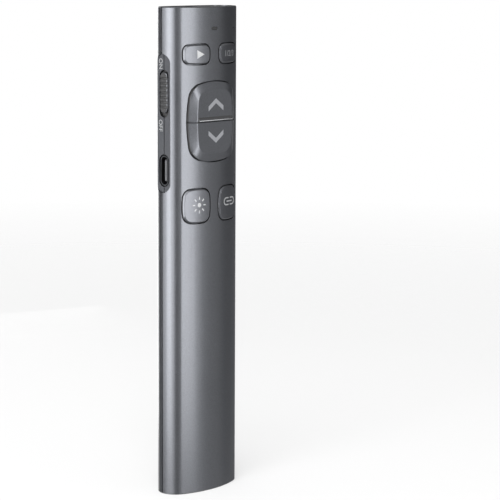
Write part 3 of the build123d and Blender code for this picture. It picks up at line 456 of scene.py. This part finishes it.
def slot_finish(slot, colours):
    """The finish of one of the record's material slots."""
    steel, dark = colours.steel, colours.dark
    crossways = (260.0, 6000.0, 6000.0)
    makers = {
        "shell_finish": lambda: satin_paint(colours),
        "tail_plastic": lambda: moulded(slot, colours.moulding, 0.42),
        "receiver_plastic": lambda: moulded(slot, shade(colours.moulding, 1.08), 0.4),
        "dark_plastic": lambda: moulded(slot, dark, 0.5),
        "chassis_plastic": lambda: moulded(slot, shade(dark, 1.6), 0.55, grain=0.22 * MM),
        "plunger_plastic": lambda: moulded(slot, shade(dark, 2.2), 0.35, grain=0.1 * MM),
        "connector_nylon": lambda: moulded(slot, (0.62, 0.58, 0.48), 0.45),
        "smoked_window": lambda: clear(slot, (0.10, 0.035, 0.04), 0.6, 0.03),
        "lens_glass": lambda: clear(slot, (0.93, 0.95, 0.97), 1.0, 0.01),
        "light_pipe_plastic": lambda: clear(slot, (0.004, 0.004, 0.005), 0.0, 0.3),
        "light_chip": lambda: clear(slot, (0.75, 0.68, 0.32), 0.2, 0.2),
        "switch_steel": lambda: stamped(slot, steel),
        # near-black steel: its dark colour paints the shade inside the socket's mouth
        "socket_steel": lambda: stamped(
            slot, (0.05, 0.052, 0.056), along=(300.0, 6000.0, 6000.0), roughness=0.3),
        "plug_steel": lambda: stamped(slot, shade(steel, 1.1), roughness=0.18),
        "shield_steel": lambda: stamped(slot, shade(steel, 0.95), along=crossways),
        "screw_steel": lambda: stamped(slot, shade(steel, 0.3), roughness=0.35),
        "circuit_board": lambda: board_mask(colours.mask),
        "chip_resin": lambda: resin(dark),
        "capacitor_ceramic": ceramic,
        "battery_foil": pouch_foil,
        "foam_tape": foam,
        "lead_insulation": lambda: sleeve(slot, (0.36, 0.015, 0.012)),
        "barrel_brass": lambda: turned_brass(colours.brass),
        "magnet_nickel": lambda: plated(slot, (0.66, 0.64, 0.58)),
    }
    return makers[slot]()


def finish_named(slot):
    """Makes each slot's finish once. The keys wear the same paint as the shells."""
    slot = {"key_finish": "shell_finish"}.get(slot, slot)
    label = "finish_of_" + slot
    scene = bpy.context.scene
    if label not in scene:
        scene[label] = slot_finish(slot, scene.clicker_colours)
    return scene[label]


# ---------------------------------------------------------------- mesh helpers
def merged(node):
    """A bmesh copy of a CAD node with joined corners, and its flat triangles made faces."""
    shape = bmesh.new()
    shape.from_mesh(frame["nodes"][node].data)
    bmesh.ops.remove_doubles(shape, verts=shape.verts, dist=MERGE_DISTANCE)
    bmesh.ops.dissolve_limit(
        shape, angle_limit=FLAT_ANGLE, verts=shape.verts, edges=shape.edges,
        use_dissolve_boundaries=False)
    return shape


def bevel(shape, edges, width, segments, clamp=True):
    bmesh.ops.bevel(
        shape, geom=edges, offset=width, offset_type="OFFSET", affect="EDGES",
        segments=segments, profile=0.5, material=-1, clamp_overlap=clamp)


def new_object(name, shape):
    """Turns a bmesh into an object of the scene."""
    mesh = bpy.data.meshes.new(name)
    shape.to_mesh(mesh)
    shape.free()
    made = bpy.data.objects.new(name, mesh)
    bpy.context.scene.collection.objects.link(made)
    return made


def add_piece(name, shape, body, material):
    """Shows a bmesh as a piece of the clicker that rides on a body."""
    made = new_object(name, shape)
    for face in made.data.polygons:
        face.use_smooth = True
    made.data.set_sharp_from_angle(angle=SHADE_ANGLE)
    made.data.materials.append(material)
    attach(made, body)
    return made


def add_block(shape, centre, size):
    """A box along the axes, added to a shape."""
    matrix = Matrix.Translation(centre) @ Matrix.Diagonal((*size, 1))
    bmesh.ops.create_cube(shape, size=1.0, matrix=matrix)


def add_rectangle(shape, width, height, columns=1, turn=Matrix()):
    """A flat rectangle of one row of faces, added to a shape."""
    half = Matrix.Diagonal((width / 2, height / 2, 1, 1))
    bmesh.ops.create_grid(
        shape, x_segments=columns, y_segments=1, size=1.0, matrix=turn @ half)


def mark_unpainted_and_shade(shape, outward=None):
    """Marks faces as unpainted dark plastic, whose dark colour is partly painted shade in gaps.

    On a key these are the walls along its travel. On a shell they are the seam, the walls of
    the openings in the front, and the faces that look at another part of the shell.
    """
    start, reach, key_wall, shell_wall = 0.01 * MM, 25 * MM, 0.45, 0.75
    seam, seam_half, crown_half, crown_depth = 1.45 * MM, 0.14 * MM, 11.5 * MM, -3 * MM
    layer = shape.faces.layers.float.new(UNPAINTED_AND_SHADED)
    tree = BVHTree.FromBMesh(shape)
    for face in shape.faces:
        centre, normal = face.calc_center_median(), face.normal
        if outward is None:
            inner = tree.ray_cast(centre + start * normal, normal, reach)[0] is not None
            opening = (abs(centre.x) < crown_half and centre.y < crown_depth
                       and abs(normal.y) < shell_wall)
            inner = inner or opening or abs(centre.y - seam) < seam_half
        else:
            inner = abs(normal.dot(outward)) < key_wall
        # a marked face turns dark: unpainted plastic, and painted shade in the gaps round keys and
        # openings
        face[layer] = 1.0 if inner else 0.0


def page_split():
    """The height of the gap between the page keys, and the depth of their flats."""
    up_low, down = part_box("page_up_key")[0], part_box("page_down_key")
    return (up_low.z + down[1].z) / 2, down[0].y


def soften_flat(shape):
    """Softens the edge between a page key's flat and its sloping border."""
    width, segments, least, most = 0.75 * MM, 5, radians(8), radians(40)
    flat = page_split()[1]
    edges = [
        e for e in shape.edges
        if e.is_convex and least < e.calc_face_angle() < most
        and all(abs(v.co.y - flat) < 2 * MERGE_DISTANCE for v in e.verts)]
    bevel(shape, edges, width, segments)


def paint_ridge_shade(shape):
    """Marks unpainted the slope behind the ridge's crest and the edges at the gap: painted shade.
    """
    crest, foot, above, edge = 0.56 * MM, 1.5 * MM, 0.01 * MM, 0.25 * MM
    split, flat = page_split()
    layer = shape.faces.layers.float[UNPAINTED_AND_SHADED]
    for face in shape.faces:
        centre = face.calc_center_median()
        on_slope = centre.y < flat - above and crest < centre.z - split < foot
        if on_slope or abs(centre.z - split) < edge:
            face[layer] = 1.0


def rounded(node, name, width, outward=None):
    """A copy of a CAD node with rounded edges, which stands for the node."""
    shape = merged(node)
    if node.startswith("page"):
        soften_flat(shape)
    sharp = [e for e in shape.edges if e.is_manifold and e.calc_face_angle() > CORNER_ANGLE]
    bevel(shape, sharp, width, CORNER_SEGMENTS)
    mark_unpainted_and_shade(shape, outward)
    if node.startswith("page"):
        paint_ridge_shade(shape)
    slot = SLOT_OF[node]
    made = add_piece(name, shape, frame["nodes"][node]["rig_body"], finish_named(slot))
    weighted = made.modifiers.new("Even shading", "WEIGHTED_NORMAL")
    weighted.keep_sharp = True
    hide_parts(node)
    return made


def even_crown(made):
    """Gives the curved front even normals, so that its openings leave no streaks in the gloss.

    Each corner leans in proportion to how far it lies across the front.
    """
    facing, level, deepest, crown_half = -0.9, 0.01, 1.2 * MM, 9.5 * MM
    shaded = made.evaluated_get(bpy.context.evaluated_depsgraph_get()).to_mesh()
    normals = [corner.vector.copy() for corner in shaded.corner_normals]
    made.modifiers.clear()
    mesh = made.data
    front = min(vert.co.y for vert in mesh.vertices)
    crown = [
        face for face in mesh.polygons
        if face.normal.y < facing and abs(face.normal.z) < level
        and face.center.y < front + deepest and abs(face.center.x) < crown_half]
    products = squares = 0.0
    for face in crown:
        across = [mesh.vertices[i].co.x for i in face.vertices]
        centre = (min(across) + max(across)) / 2
        products += face.area * centre * face.normal.x
        squares += face.area * centre ** 2
    for face in crown:
        for corner in face.loop_indices:
            lean = mesh.vertices[mesh.loops[corner].vertex_index].co.x * products / squares
            normals[corner] = Vector((lean, -(1 - lean ** 2) ** 0.5, 0))
    mesh.normals_split_custom_set(normals)


def lay_on(shape, node, outward, raised, sunk):
    """Lays a flat mark on a node's surface and makes it a closed thin solid."""
    surface = merged(node)
    tree = BVHTree.FromBMesh(surface)
    surface.free()
    for vert in shape.verts:
        found = tree.ray_cast(vert.co + PROBE_REACH * outward, -outward)[0]
        if found is None:
            raise RuntimeError(f"a mark misses {node}")
        vert.co = found - sunk * outward
    grown = bmesh.ops.extrude_face_region(shape, geom=list(shape.faces))
    top = [part for part in grown["geom"] if isinstance(part, bmesh.types.BMVert)]
    bmesh.ops.translate(shape, verts=top, vec=(raised + sunk) * outward)
    bmesh.ops.recalc_face_normals(shape, faces=shape.faces)


def mark(name, shape, turn, centre, node, outward, ink):
    """A printed mark, drawn flat round the origin, turned, moved and laid on a node."""
    sizes = bpy.context.scene.clicker_sizes
    bmesh.ops.transform(shape, matrix=Matrix.Translation(centre) @ turn, verts=shape.verts)
    lay_on(shape, node, outward, sizes.mark_height, sizes.mark_depth)
    return add_piece(name, shape, frame["nodes"][node]["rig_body"], ink)


def middle(node):
    low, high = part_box(node)
    return (low + high) / 2


def letters(text, height):
    """Flat letters in X and Y round the origin, with the given height of a capital."""
    capital_share = 0.7  # a capital's height in the built-in typeface's size
    curve = bpy.data.curves.new(text, "FONT")
    curve.body = text
    curve.size = height / capital_share
    curve.align_x = "CENTER"
    curve.align_y = "CENTER"
    curve.resolution_u = 4
    holder = bpy.data.objects.new(text, curve)
    mesh = bpy.data.meshes.new_from_object(holder)
    shape = bmesh.new()
    shape.from_mesh(mesh)
    bmesh.ops.remove_doubles(shape, verts=shape.verts, dist=MERGE_DISTANCE)
    low, high = (
        Vector([end(v.co[i] for v in shape.verts) for i in range(3)]) for end in (min, max))
    bmesh.ops.translate(shape, verts=shape.verts, vec=-(low + high) / 2)
    bpy.data.objects.remove(holder)
    bpy.data.curves.remove(curve)
    bpy.data.meshes.remove(mesh)
    return shape


# ---------------------------------------------------------------- light and direction
def direction(azimuth, elevation=0.0):
    """The unit vector away from the clicker: azimuth 0 is the front, and it grows to the right."""
    level = cos(elevation)
    return Vector((sin(azimuth) * level, -cos(azimuth) * level, sin(elevation)))


def soft_light(name, radiance, width, height, place, back, upward):
    """A rectangular light of even radiance that the camera doesn't see.

    Its back faces along back, away from what it lights, and its height runs along upward.
    """
    power_share = 4  # a light's power for each unit of radiance and area
    light = bpy.data.lights.new(name, "AREA")
    light.shape = "RECTANGLE"
    light.size = width
    light.size_y = height
    light.energy = power_share * radiance * width * height
    lamp = bpy.data.objects.new(name, light)
    lamp.location = place
    lamp.rotation_euler = Matrix((upward.cross(back), upward, back)).transposed().to_euler()
    lamp.visible_camera = False
    bpy.context.scene.collection.objects.link(lamp)
    return lamp


# ---------------------------------------------------------------- operators
class CLICKER_OT_shells(bpy.types.Operator):
    """Rounds the edges of the shells and the end plates"""

    bl_idname = "clicker.shells"
    bl_label = "Shells"

    def execute(self, context):
        edge = context.scene.clicker_sizes.shell_edge
        for node in ("rear_shell", "tail_plate", "head_plate"):
            rounded(node, node + "_finished", edge)
        even_crown(rounded("front_shell", "front_shell_finished", edge))
        return {"FINISHED"}


class CLICKER_OT_keys(bpy.types.Operator):
    """Rounds the edges of the front keys, the volume keys and the slide switch's knob"""

    bl_idname = "clicker.keys"
    bl_label = "Keys"

    def execute(self, context):
        edge = context.scene.clicker_sizes.key_edge
        for key in ("play", "mode", "laser", "link", "page_up", "page_down"):
            rounded(key + "_key", key + "_cap", edge, outward=FRONT)
        for key in ("volume_up", "volume_down"):
            rounded(key + "_key", key + "_cap", edge, outward=RIGHT)
        rounded("switch_knob", "switch_cap", edge / 2)
        return {"FINISHED"}


class CLICKER_OT_key_marks(bpy.types.Operator):
    """Prints the marks on the front keys"""

    bl_idname = "clicker.key_marks"
    bl_label = "Key marks"

    def execute(self, context):
        sizes, colours = context.scene.clicker_sizes, context.scene.clicker_colours
        white = printed("white_ink", colours.ink)
        self.play_mark(white)
        self.number_mark(sizes, printed("dim_ink", colours.dim_ink))
        self.spot_mark(sizes, white)
        self.link_mark(sizes, printed("soft_ink", colours.soft_ink))
        self.page_marks(sizes, printed("grey_ink", colours.grey_ink))
        return {"FINISHED"}

    def print_on(self, key, name, shape, ink, aside=0.0, above=0.0):
        """Prints a mark on a key, beside or above the axis of its plunger."""
        axis = middle(key + "_plunger")
        place = Vector((axis.x + aside, 0, axis.z + above))
        mark(name, shape, FACING_FRONT, place, key + "_key", FRONT, ink)

    def play_mark(self, ink):
        """A triangle that points to the right."""
        radius, stretch, aside = 1.43 * MM, 1.14, 0.5 * MM
        point_right = (
            Matrix.Diagonal((stretch, 1.0, 1.0, 1.0)) @ Matrix.Rotation(radians(-90), 4, "Z"))
        shape = bmesh.new()
        bmesh.ops.create_circle(
            shape, cap_ends=True, segments=3, radius=radius, matrix=point_right)
        bmesh.ops.subdivide_edges(shape, edges=shape.edges, cuts=2, use_grid_fill=True)
        self.print_on("play", "play_mark", shape, ink, aside)

    def number_mark(self, sizes, ink):
        aside = 0.3 * MM
        self.print_on("mode", "mode_mark", letters("1/2/3", sizes.key_number), ink, aside)

    def spot_mark(self, sizes, ink):
        """A dot with rays round it."""
        rays, dot_sides, narrowing = 8, 20, 0.9
        inner, outer, dot = 1.6 * MM, 2.5 * MM, 0.66 * MM
        aside, above = 0.4 * MM, 0.3 * MM
        shape = bmesh.new()
        bmesh.ops.create_circle(shape, cap_ends=True, segments=dot_sides, radius=dot)
        out = Matrix.Translation(((inner + outer) / 2, 0, 0))
        for i in range(rays):
            turn = Matrix.Rotation(2 * pi * i / rays, 4, "Z")
            add_rectangle(shape, outer - inner, sizes.icon_stroke, turn=turn @ out)
        bmesh.ops.scale(shape, verts=shape.verts, vec=(narrowing, 1, 1))
        self.print_on("laser", "spot_mark", shape, ink, aside, above)

    def link_mark(self, sizes, ink):
        """Two half links that face each other, joined by a bar."""
        end_radius, half_length, gap = 1.22 * MM, 2.85 * MM, 0.75 * MM
        sides, bar_faces, aside, above = 28, 8, 0.3 * MM, 0.45 * MM
        shape = bmesh.new()
        turn = Matrix.Rotation(pi / sides, 4, "Z")
        bmesh.ops.create_circle(
            shape, cap_ends=True, segments=sides, radius=end_radius, matrix=turn)
        rim = bmesh.ops.inset_region(
            shape, faces=shape.faces, thickness=sizes.icon_stroke, use_even_offset=True,
            use_boundary=True)["faces"]
        inside = [face for face in shape.faces if face not in rim]
        bmesh.ops.delete(shape, geom=inside, context="FACES_ONLY")
        for side in (-1, 1):
            half = [v for v in shape.verts if v.co.x * side > 0]
            reach = side * (half_length - end_radius)
            bmesh.ops.translate(shape, verts=half, vec=(reach, 0, 0))
        for side in (-1, 1):
            everything = [*shape.verts, *shape.edges, *shape.faces]
            cut = (side * gap / 2, 0, 0)
            bmesh.ops.bisect_plane(shape, geom=everything, plane_co=cut, plane_no=(1, 0, 0))
        between = [f for f in shape.faces if abs(f.calc_center_median().x) < gap / 2]
        bmesh.ops.delete(shape, geom=between, context="FACES")
        add_rectangle(shape, half_length, sizes.icon_stroke, columns=bar_faces)
        self.print_on("link", "link_mark", shape, ink, aside, above)

    def page_marks(self, sizes, ink):
        """A chevron on each page key, away from the gap between them."""
        half_width, rise, aside = 3.15 * MM, 2.3 * MM, 0.3 * MM
        split = page_split()[0]
        for key, step, apex in (("page_up", 1, 6.85 * MM), ("page_down", -1, 6.35 * MM)):
            shape = bmesh.new()
            add_rectangle(shape, 2 * half_width, sizes.chevron_stroke, columns=2)
            for vert in shape.verts:
                vert.co.y += step * rise * (0.5 - abs(vert.co.x) / half_width)
            height = split + step * (apex - rise / 2 - sizes.chevron_stroke / 2)
            place = Vector((aside, 0, height))
            mark(key + "_mark", shape, FACING_FRONT, place, key + "_key", FRONT, ink)


class CLICKER_OT_crest_highlight(bpy.types.Operator):
    """Adds a bright plated bead along the page keys' ridge crest, as its painted highlight"""

    bl_idname = "clicker.ridge_trim"
    bl_label = "Ridge trim"

    def execute(self, context):
        length, tall, deep, above_split = 14.0 * MM, 0.17 * MM, 0.2 * MM, 0.47 * MM
        rounding, segments, highlight_plating_colour = 0.06 * MM, 3, (0.75, 0.76, 0.78)
        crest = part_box("page_up_key")[0].y
        shape = bmesh.new()
        centre = (0, crest + deep / 2, page_split()[0] + above_split)
        add_block(shape, centre, (length, deep, tall))
        bevel(shape, list(shape.edges), rounding, segments, clamp=False)
        # the bright plated bead is a painted highlight along the crest
        add_piece("ridge_bead", shape, "page_up", plated("bright_trim", highlight_plating_colour))
        return {"FINISHED"}


class CLICKER_OT_side_marks(bpy.types.Operator):
    """Prints the letters beside the slide switch and the signs beside the volume keys"""

    bl_idname = "clicker.side_marks"
    bl_label = "Side marks"

    def execute(self, context):
        sizes = context.scene.clicker_sizes
        ink = printed("side_ink", context.scene.clicker_colours.soft_ink)
        self.switch_letters(sizes, ink)
        self.volume_signs(sizes, ink)
        return {"FINISHED"}

    def switch_letters(self, sizes, ink):
        switch = middle("slide_switch")
        for text, along, behind in (("ON", 8.75 * MM, 1.3 * MM), ("OFF", -9.45 * MM, 1.4 * MM)):
            shape = letters(text, sizes.side_letters)
            place = Vector((0, switch.y + behind, switch.z + along))
            mark("switch_" + text.lower(), shape, FACING_LEFT, place, "rear_shell", LEFT, ink)

    def volume_signs(self, sizes, ink):
        """A plus above the upper key and a minus below the lower one."""
        arm, stroke = 0.62 * MM, sizes.icon_stroke * 0.8
        behind, past_end = 2.0 * MM, 1.0 * MM
        for name, key, step in (("plus", "volume_up_key", 1), ("minus", "volume_down_key", -1)):
            shape = bmesh.new()
            add_rectangle(shape, stroke, 2 * arm)
            if name == "plus":
                for side in (-1, 1):
                    out = Matrix.Translation((side * (stroke + arm) / 2, 0, 0))
                    add_rectangle(shape, arm - stroke / 2, stroke, turn=out)
            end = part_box(key)[1 if step > 0 else 0].z
            place = Vector((0, middle(key).y + behind, end + step * past_end))
            mark("volume_" + name, shape, FACING_RIGHT, place, "rear_shell", RIGHT, ink)


class CLICKER_OT_volume_ribs(bpy.types.Operator):
    """Adds the fine lengthways ribs to the volume keys"""

    bl_idname = "clicker.volume_ribs"
    bl_label = "Volume key ribs"

    def execute(self, context):
        width = context.scene.clicker_sizes.key_rib
        count, pitch, proud, margin = 5, 0.52 * MM, 0.07 * MM, 1.1 * MM
        rounding, segments = 0.6 * proud, 2
        for key in ("volume_up", "volume_down"):
            low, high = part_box(key + "_key")
            centre = (low + high) / 2
            size = (2 * proud, width, high.z - low.z - 2 * margin)
            shape = bmesh.new()
            for i in range(count):
                y = centre.y + (i - (count - 1) / 2) * pitch
                add_block(shape, (high.x, y, centre.z), size)
            bevel(shape, list(shape.edges), rounding, segments, clamp=False)
            add_piece(key + "_ribs", shape, key, finish_named("key_finish"))
        return {"FINISHED"}


class CLICKER_OT_contacts(bpy.types.Operator):
    """Adds the gold contacts of the charging socket and of the receiver"""

    bl_idname = "clicker.contacts"
    bl_label = "Contacts"

    def execute(self, context):
        gold = plated("gold_contacts", context.scene.clicker_colours.gold)
        self.socket_contacts(gold)
        self.receiver_contacts(gold)
        return {"FINISHED"}

    def socket_contacts(self, gold):
        """A row of contacts on each face of the socket's tongue."""
        count, pitch, set_back, blade_half = 12, 0.5 * MM, 0.5 * MM, 0.35 * MM
        length, thickness, width = 3.4 * MM, 0.05 * MM, 0.26 * MM
        low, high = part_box("charging_socket_tongue")
        centre = (low + high) / 2
        x = low.x + set_back + length / 2
        shape = bmesh.new()
        for side in (-1, 1):
            for i in range(count):
                z = centre.z + (i - (count - 1) / 2) * pitch
                place = (x, centre.y + side * blade_half, z)
                add_block(shape, place, (length, thickness, width))
        add_piece("socket_contacts", shape, "housing", gold)

    def receiver_contacts(self, gold):
        """Four contacts on the receiver's board, the outer two longer."""
        lengths = (7.4 * MM, 6.4 * MM, 6.4 * MM, 7.4 * MM)
        pitch, set_back, width, thickness = 2.3 * MM, 0.5 * MM, 1.1 * MM, 0.06 * MM
        low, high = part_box("receiver_board")
        shape = bmesh.new()
        for i, length in enumerate(lengths):
            x = (low.x + high.x) / 2 + (i - (len(lengths) - 1) / 2) * pitch
            place = (x, low.y, high.z - set_back - length / 2)
            add_block(shape, place, (width, thickness, length))
        add_piece("receiver_contacts", shape, "receiver", gold)


class CLICKER_OT_receiver(bpy.types.Operator):
    """Rounds the edges of the receiver's cap"""

    bl_idname = "clicker.receiver"
    bl_label = "Receiver"

    def execute(self, context):
        rounded("receiver_cap", "receiver_grip", context.scene.clicker_sizes.shell_edge)
        return {"FINISHED"}


class CLICKER_OT_fittings(bpy.types.Operator):
    """Gives every piece of the frame its own finish"""

    bl_idname = "clicker.fittings"
    bl_label = "Fittings"

    def execute(self, context):
        tongue_grey = (0.15, 0.155, 0.165)
        for node, obj in frame["nodes"].items():
            obj.material_slots[0].material = finish_named(SLOT_OF[node])
        tongue = frame["nodes"]["charging_socket_tongue"]
        tongue.material_slots[0].material = moulded(
            "tongue_plastic", tongue_grey, 0.5, grain=0.1 * MM)
        return {"FINISHED"}


class CLICKER_OT_studio(bpy.types.Operator):
    """Adds the floor, the surrounding light, the lamps and the camera"""

    bl_idname = "clicker.studio"
    bl_label = "Studio"

    def execute(self, context):
        studio = context.scene.clicker_studio
        self.camera(studio)
        self.floor(studio)
        self.surroundings(studio)
        self.lamps(studio)
        context.scene.view_settings.view_transform = "Standard"
        return {"FINISHED"}

    def camera(self, studio):
        aim = Vector((10.31, -11.02, 73.06)) * MM
        back = direction(studio.azimuth, studio.elevation)
        data = bpy.data.cameras.new("camera")
        data.lens = studio.lens
        data.sensor_width = 36.0
        data.clip_start = 0.01
        data.clip_end = 20.0
        camera = bpy.data.objects.new("camera", data)
        camera.location = aim + studio.distance * back
        facing = (-back).to_track_quat("-Z", "Y").to_matrix()
        camera.rotation_euler = (facing @ Matrix.Rotation(studio.roll, 3, "Z")).to_euler()
        bpy.context.scene.collection.objects.link(camera)
        bpy.context.scene.camera = camera

    def floor(self, studio):
        """A pale floor that fades into the white surroundings away from the clicker."""
        near, far, half, opacity, mottling = 0.25, 0.7, 1.5, 0.65, 0.985
        shape = bmesh.new()
        bmesh.ops.create_grid(shape, x_segments=1, y_segments=1, size=half)
        floor = new_object("floor", shape)
        pale = Finish("pale_floor", {"Roughness": 0.9, "Specular IOR Level": 0.1})
        grain = pale.noise(scale=900.0)
        darker = shade(studio.floor, mottling)
        pale.feed("Base Color", pale.blend(grain, darker, shade(studio.floor, 1.0)))
        distance = pale.node(
            "ShaderNodeVectorMath", {"operation": "LENGTH"}, {0: pale.where}, "Value")
        pale.feed("Alpha", opacity - opacity * pale.spread(distance, near, far))
        seen = pale.node("ShaderNodeLightPath", output="Is Camera Ray")
        pale.feed("Emission Color", pale.blend(seen, BLACK, studio.floor_glow))
        pale.feed("Emission Strength", 1.0)
        floor.data.materials.append(pale.material)
        floor.visible_glossy = False
        floor.visible_shadow = False

    def surroundings(self, studio):
        """White behind and in reflections, and a dimmer even light on matt surfaces."""
        world = bpy.data.worlds.new("surroundings")
        world.use_nodes = True
        tree = world.node_tree
        seen = tree.nodes.new("ShaderNodeLightPath")
        background = tree.nodes["Background"]
        background.inputs["Color"].default_value = (1.0, 1.0, 1.0, 1.0)
        any_seen = seen.outputs["Is Camera Ray"]
        for ray in ("Is Glossy Ray", "Is Transmission Ray"):
            either = tree.nodes.new("ShaderNodeMath")
            either.operation = "MAXIMUM"
            tree.links.new(any_seen, either.inputs[0])
            tree.links.new(seen.outputs[ray], either.inputs[1])
            any_seen = either.outputs[0]
        strength = tree.nodes.new("ShaderNodeMapRange")
        strength.inputs["To Min"].default_value = studio.fill
        tree.links.new(any_seen, strength.inputs["Value"])
        tree.links.new(strength.outputs[0], background.inputs["Strength"])
        bpy.context.scene.world = world

    def lamps(self, studio):
        """A soft key light, and strips and cards that only the clicker's gloss shows."""
        key_azimuth, key_elevation = radians(-62), radians(52)
        size, distance, aim_height = 0.55, 0.9, 60 * MM
        back = direction(key_azimuth, key_elevation)
        upward = (UP - UP.dot(back) * back).normalized()
        place = aim_height * UP + distance * back
        soft_light("key_light", studio.key_light, size, size, place, back, upward)
        for name, azimuth, half_angle in STRIPS:
            self.strip(name, getattr(studio, name), radians(azimuth), radians(half_angle))
        for name, azimuth, half_angle in CARDS:
            self.card(name, studio.cards, radians(azimuth), radians(half_angle))

    def upright(self, azimuth, distance):
        """The middle and the outward direction of something that stands round the clicker."""
        middle_height = 0.11
        outward = direction(azimuth)
        return distance * outward + middle_height * UP, outward

    def strip(self, name, radiance, azimuth, half_angle):
        """An upright light of a given apparent width."""
        distance, height = 0.3, 0.33
        place, outward = self.upright(azimuth, distance)
        width = 2 * distance * tan(half_angle)
        soft_light(name, radiance, width, height, place, outward, UP).visible_diffuse = False

    def card(self, name, colour, azimuth, half_angle):
        """A grey card that only the gloss shows, darker towards its top."""
        distance, height, foot, top, top_share = 0.26, 0.42, -0.05, 0.13, 0.3
        place, outward = self.upright(azimuth, distance)
        width = 2 * distance * tan(half_angle)
        turn = Matrix((outward.cross(UP), UP, outward)).transposed().to_4x4()
        shape = bmesh.new()
        add_rectangle(shape, width, height, turn=Matrix.Translation(place) @ turn)
        card = new_object(name, shape)
        grey = Finish(name, {"Roughness": 0.9, "Specular IOR Level": 0.1})
        height_share = grey.spread(grey.axis("Z"), foot, top)
        tone = grey.blend(height_share, colour, shade(colour, top_share))
        grey.feed("Base Color", grey.blend(0.1 * grey.noise(scale=900.0), tone, colour))
        card.data.materials.append(grey.material)
        for ray in ("camera", "diffuse", "transmission", "volume_scatter", "shadow"):
            setattr(card, "visible_" + ray, False)


class CLICKER_PT_panel(bpy.types.Panel):
    """Lists the steps and the sizes and colours they use"""

    bl_idname = "CLICKER_PT_panel"
    bl_label = "Presentation Clicker"
    bl_space_type = "VIEW_3D"
    bl_region_type = "UI"
    bl_category = "Clicker"

    def draw(self, context):
        scene = context.scene
        for step in STEPS:
            self.layout.operator(step.bl_idname)
        for group in (scene.clicker_sizes, scene.clicker_colours, scene.clicker_studio):
            box = self.layout.box()
            for setting in group.__annotations__:
                box.prop(group, setting)


STEPS = (
    CLICKER_OT_studio, CLICKER_OT_fittings, CLICKER_OT_shells, CLICKER_OT_keys,
    CLICKER_OT_key_marks, CLICKER_OT_crest_highlight, CLICKER_OT_side_marks,
    CLICKER_OT_volume_ribs, CLICKER_OT_contacts, CLICKER_OT_receiver)
GROUPS = (ClickerSizes, ClickerColours, StudioSettings)


def register():
    for kind in (*GROUPS, *STEPS, CLICKER_PT_panel):
        bpy.utils.register_class(kind)
    bpy.types.Scene.clicker_sizes = PointerProperty(type=ClickerSizes)
    bpy.types.Scene.clicker_colours = PointerProperty(type=ClickerColours)
    bpy.types.Scene.clicker_studio = PointerProperty(type=StudioSettings)


def unregister():
    for name in ("clicker_sizes", "clicker_colours", "clicker_studio"):
        delattr(bpy.types.Scene, name)
    for kind in reversed((*GROUPS, *STEPS, CLICKER_PT_panel)):
        bpy.utils.unregister_class(kind)


def main():
    register()
    for step in STEPS:
        group, name = step.bl_idname.split(".")
        getattr(getattr(bpy.ops, group), name)()


if __name__ == "__main__":
    main()
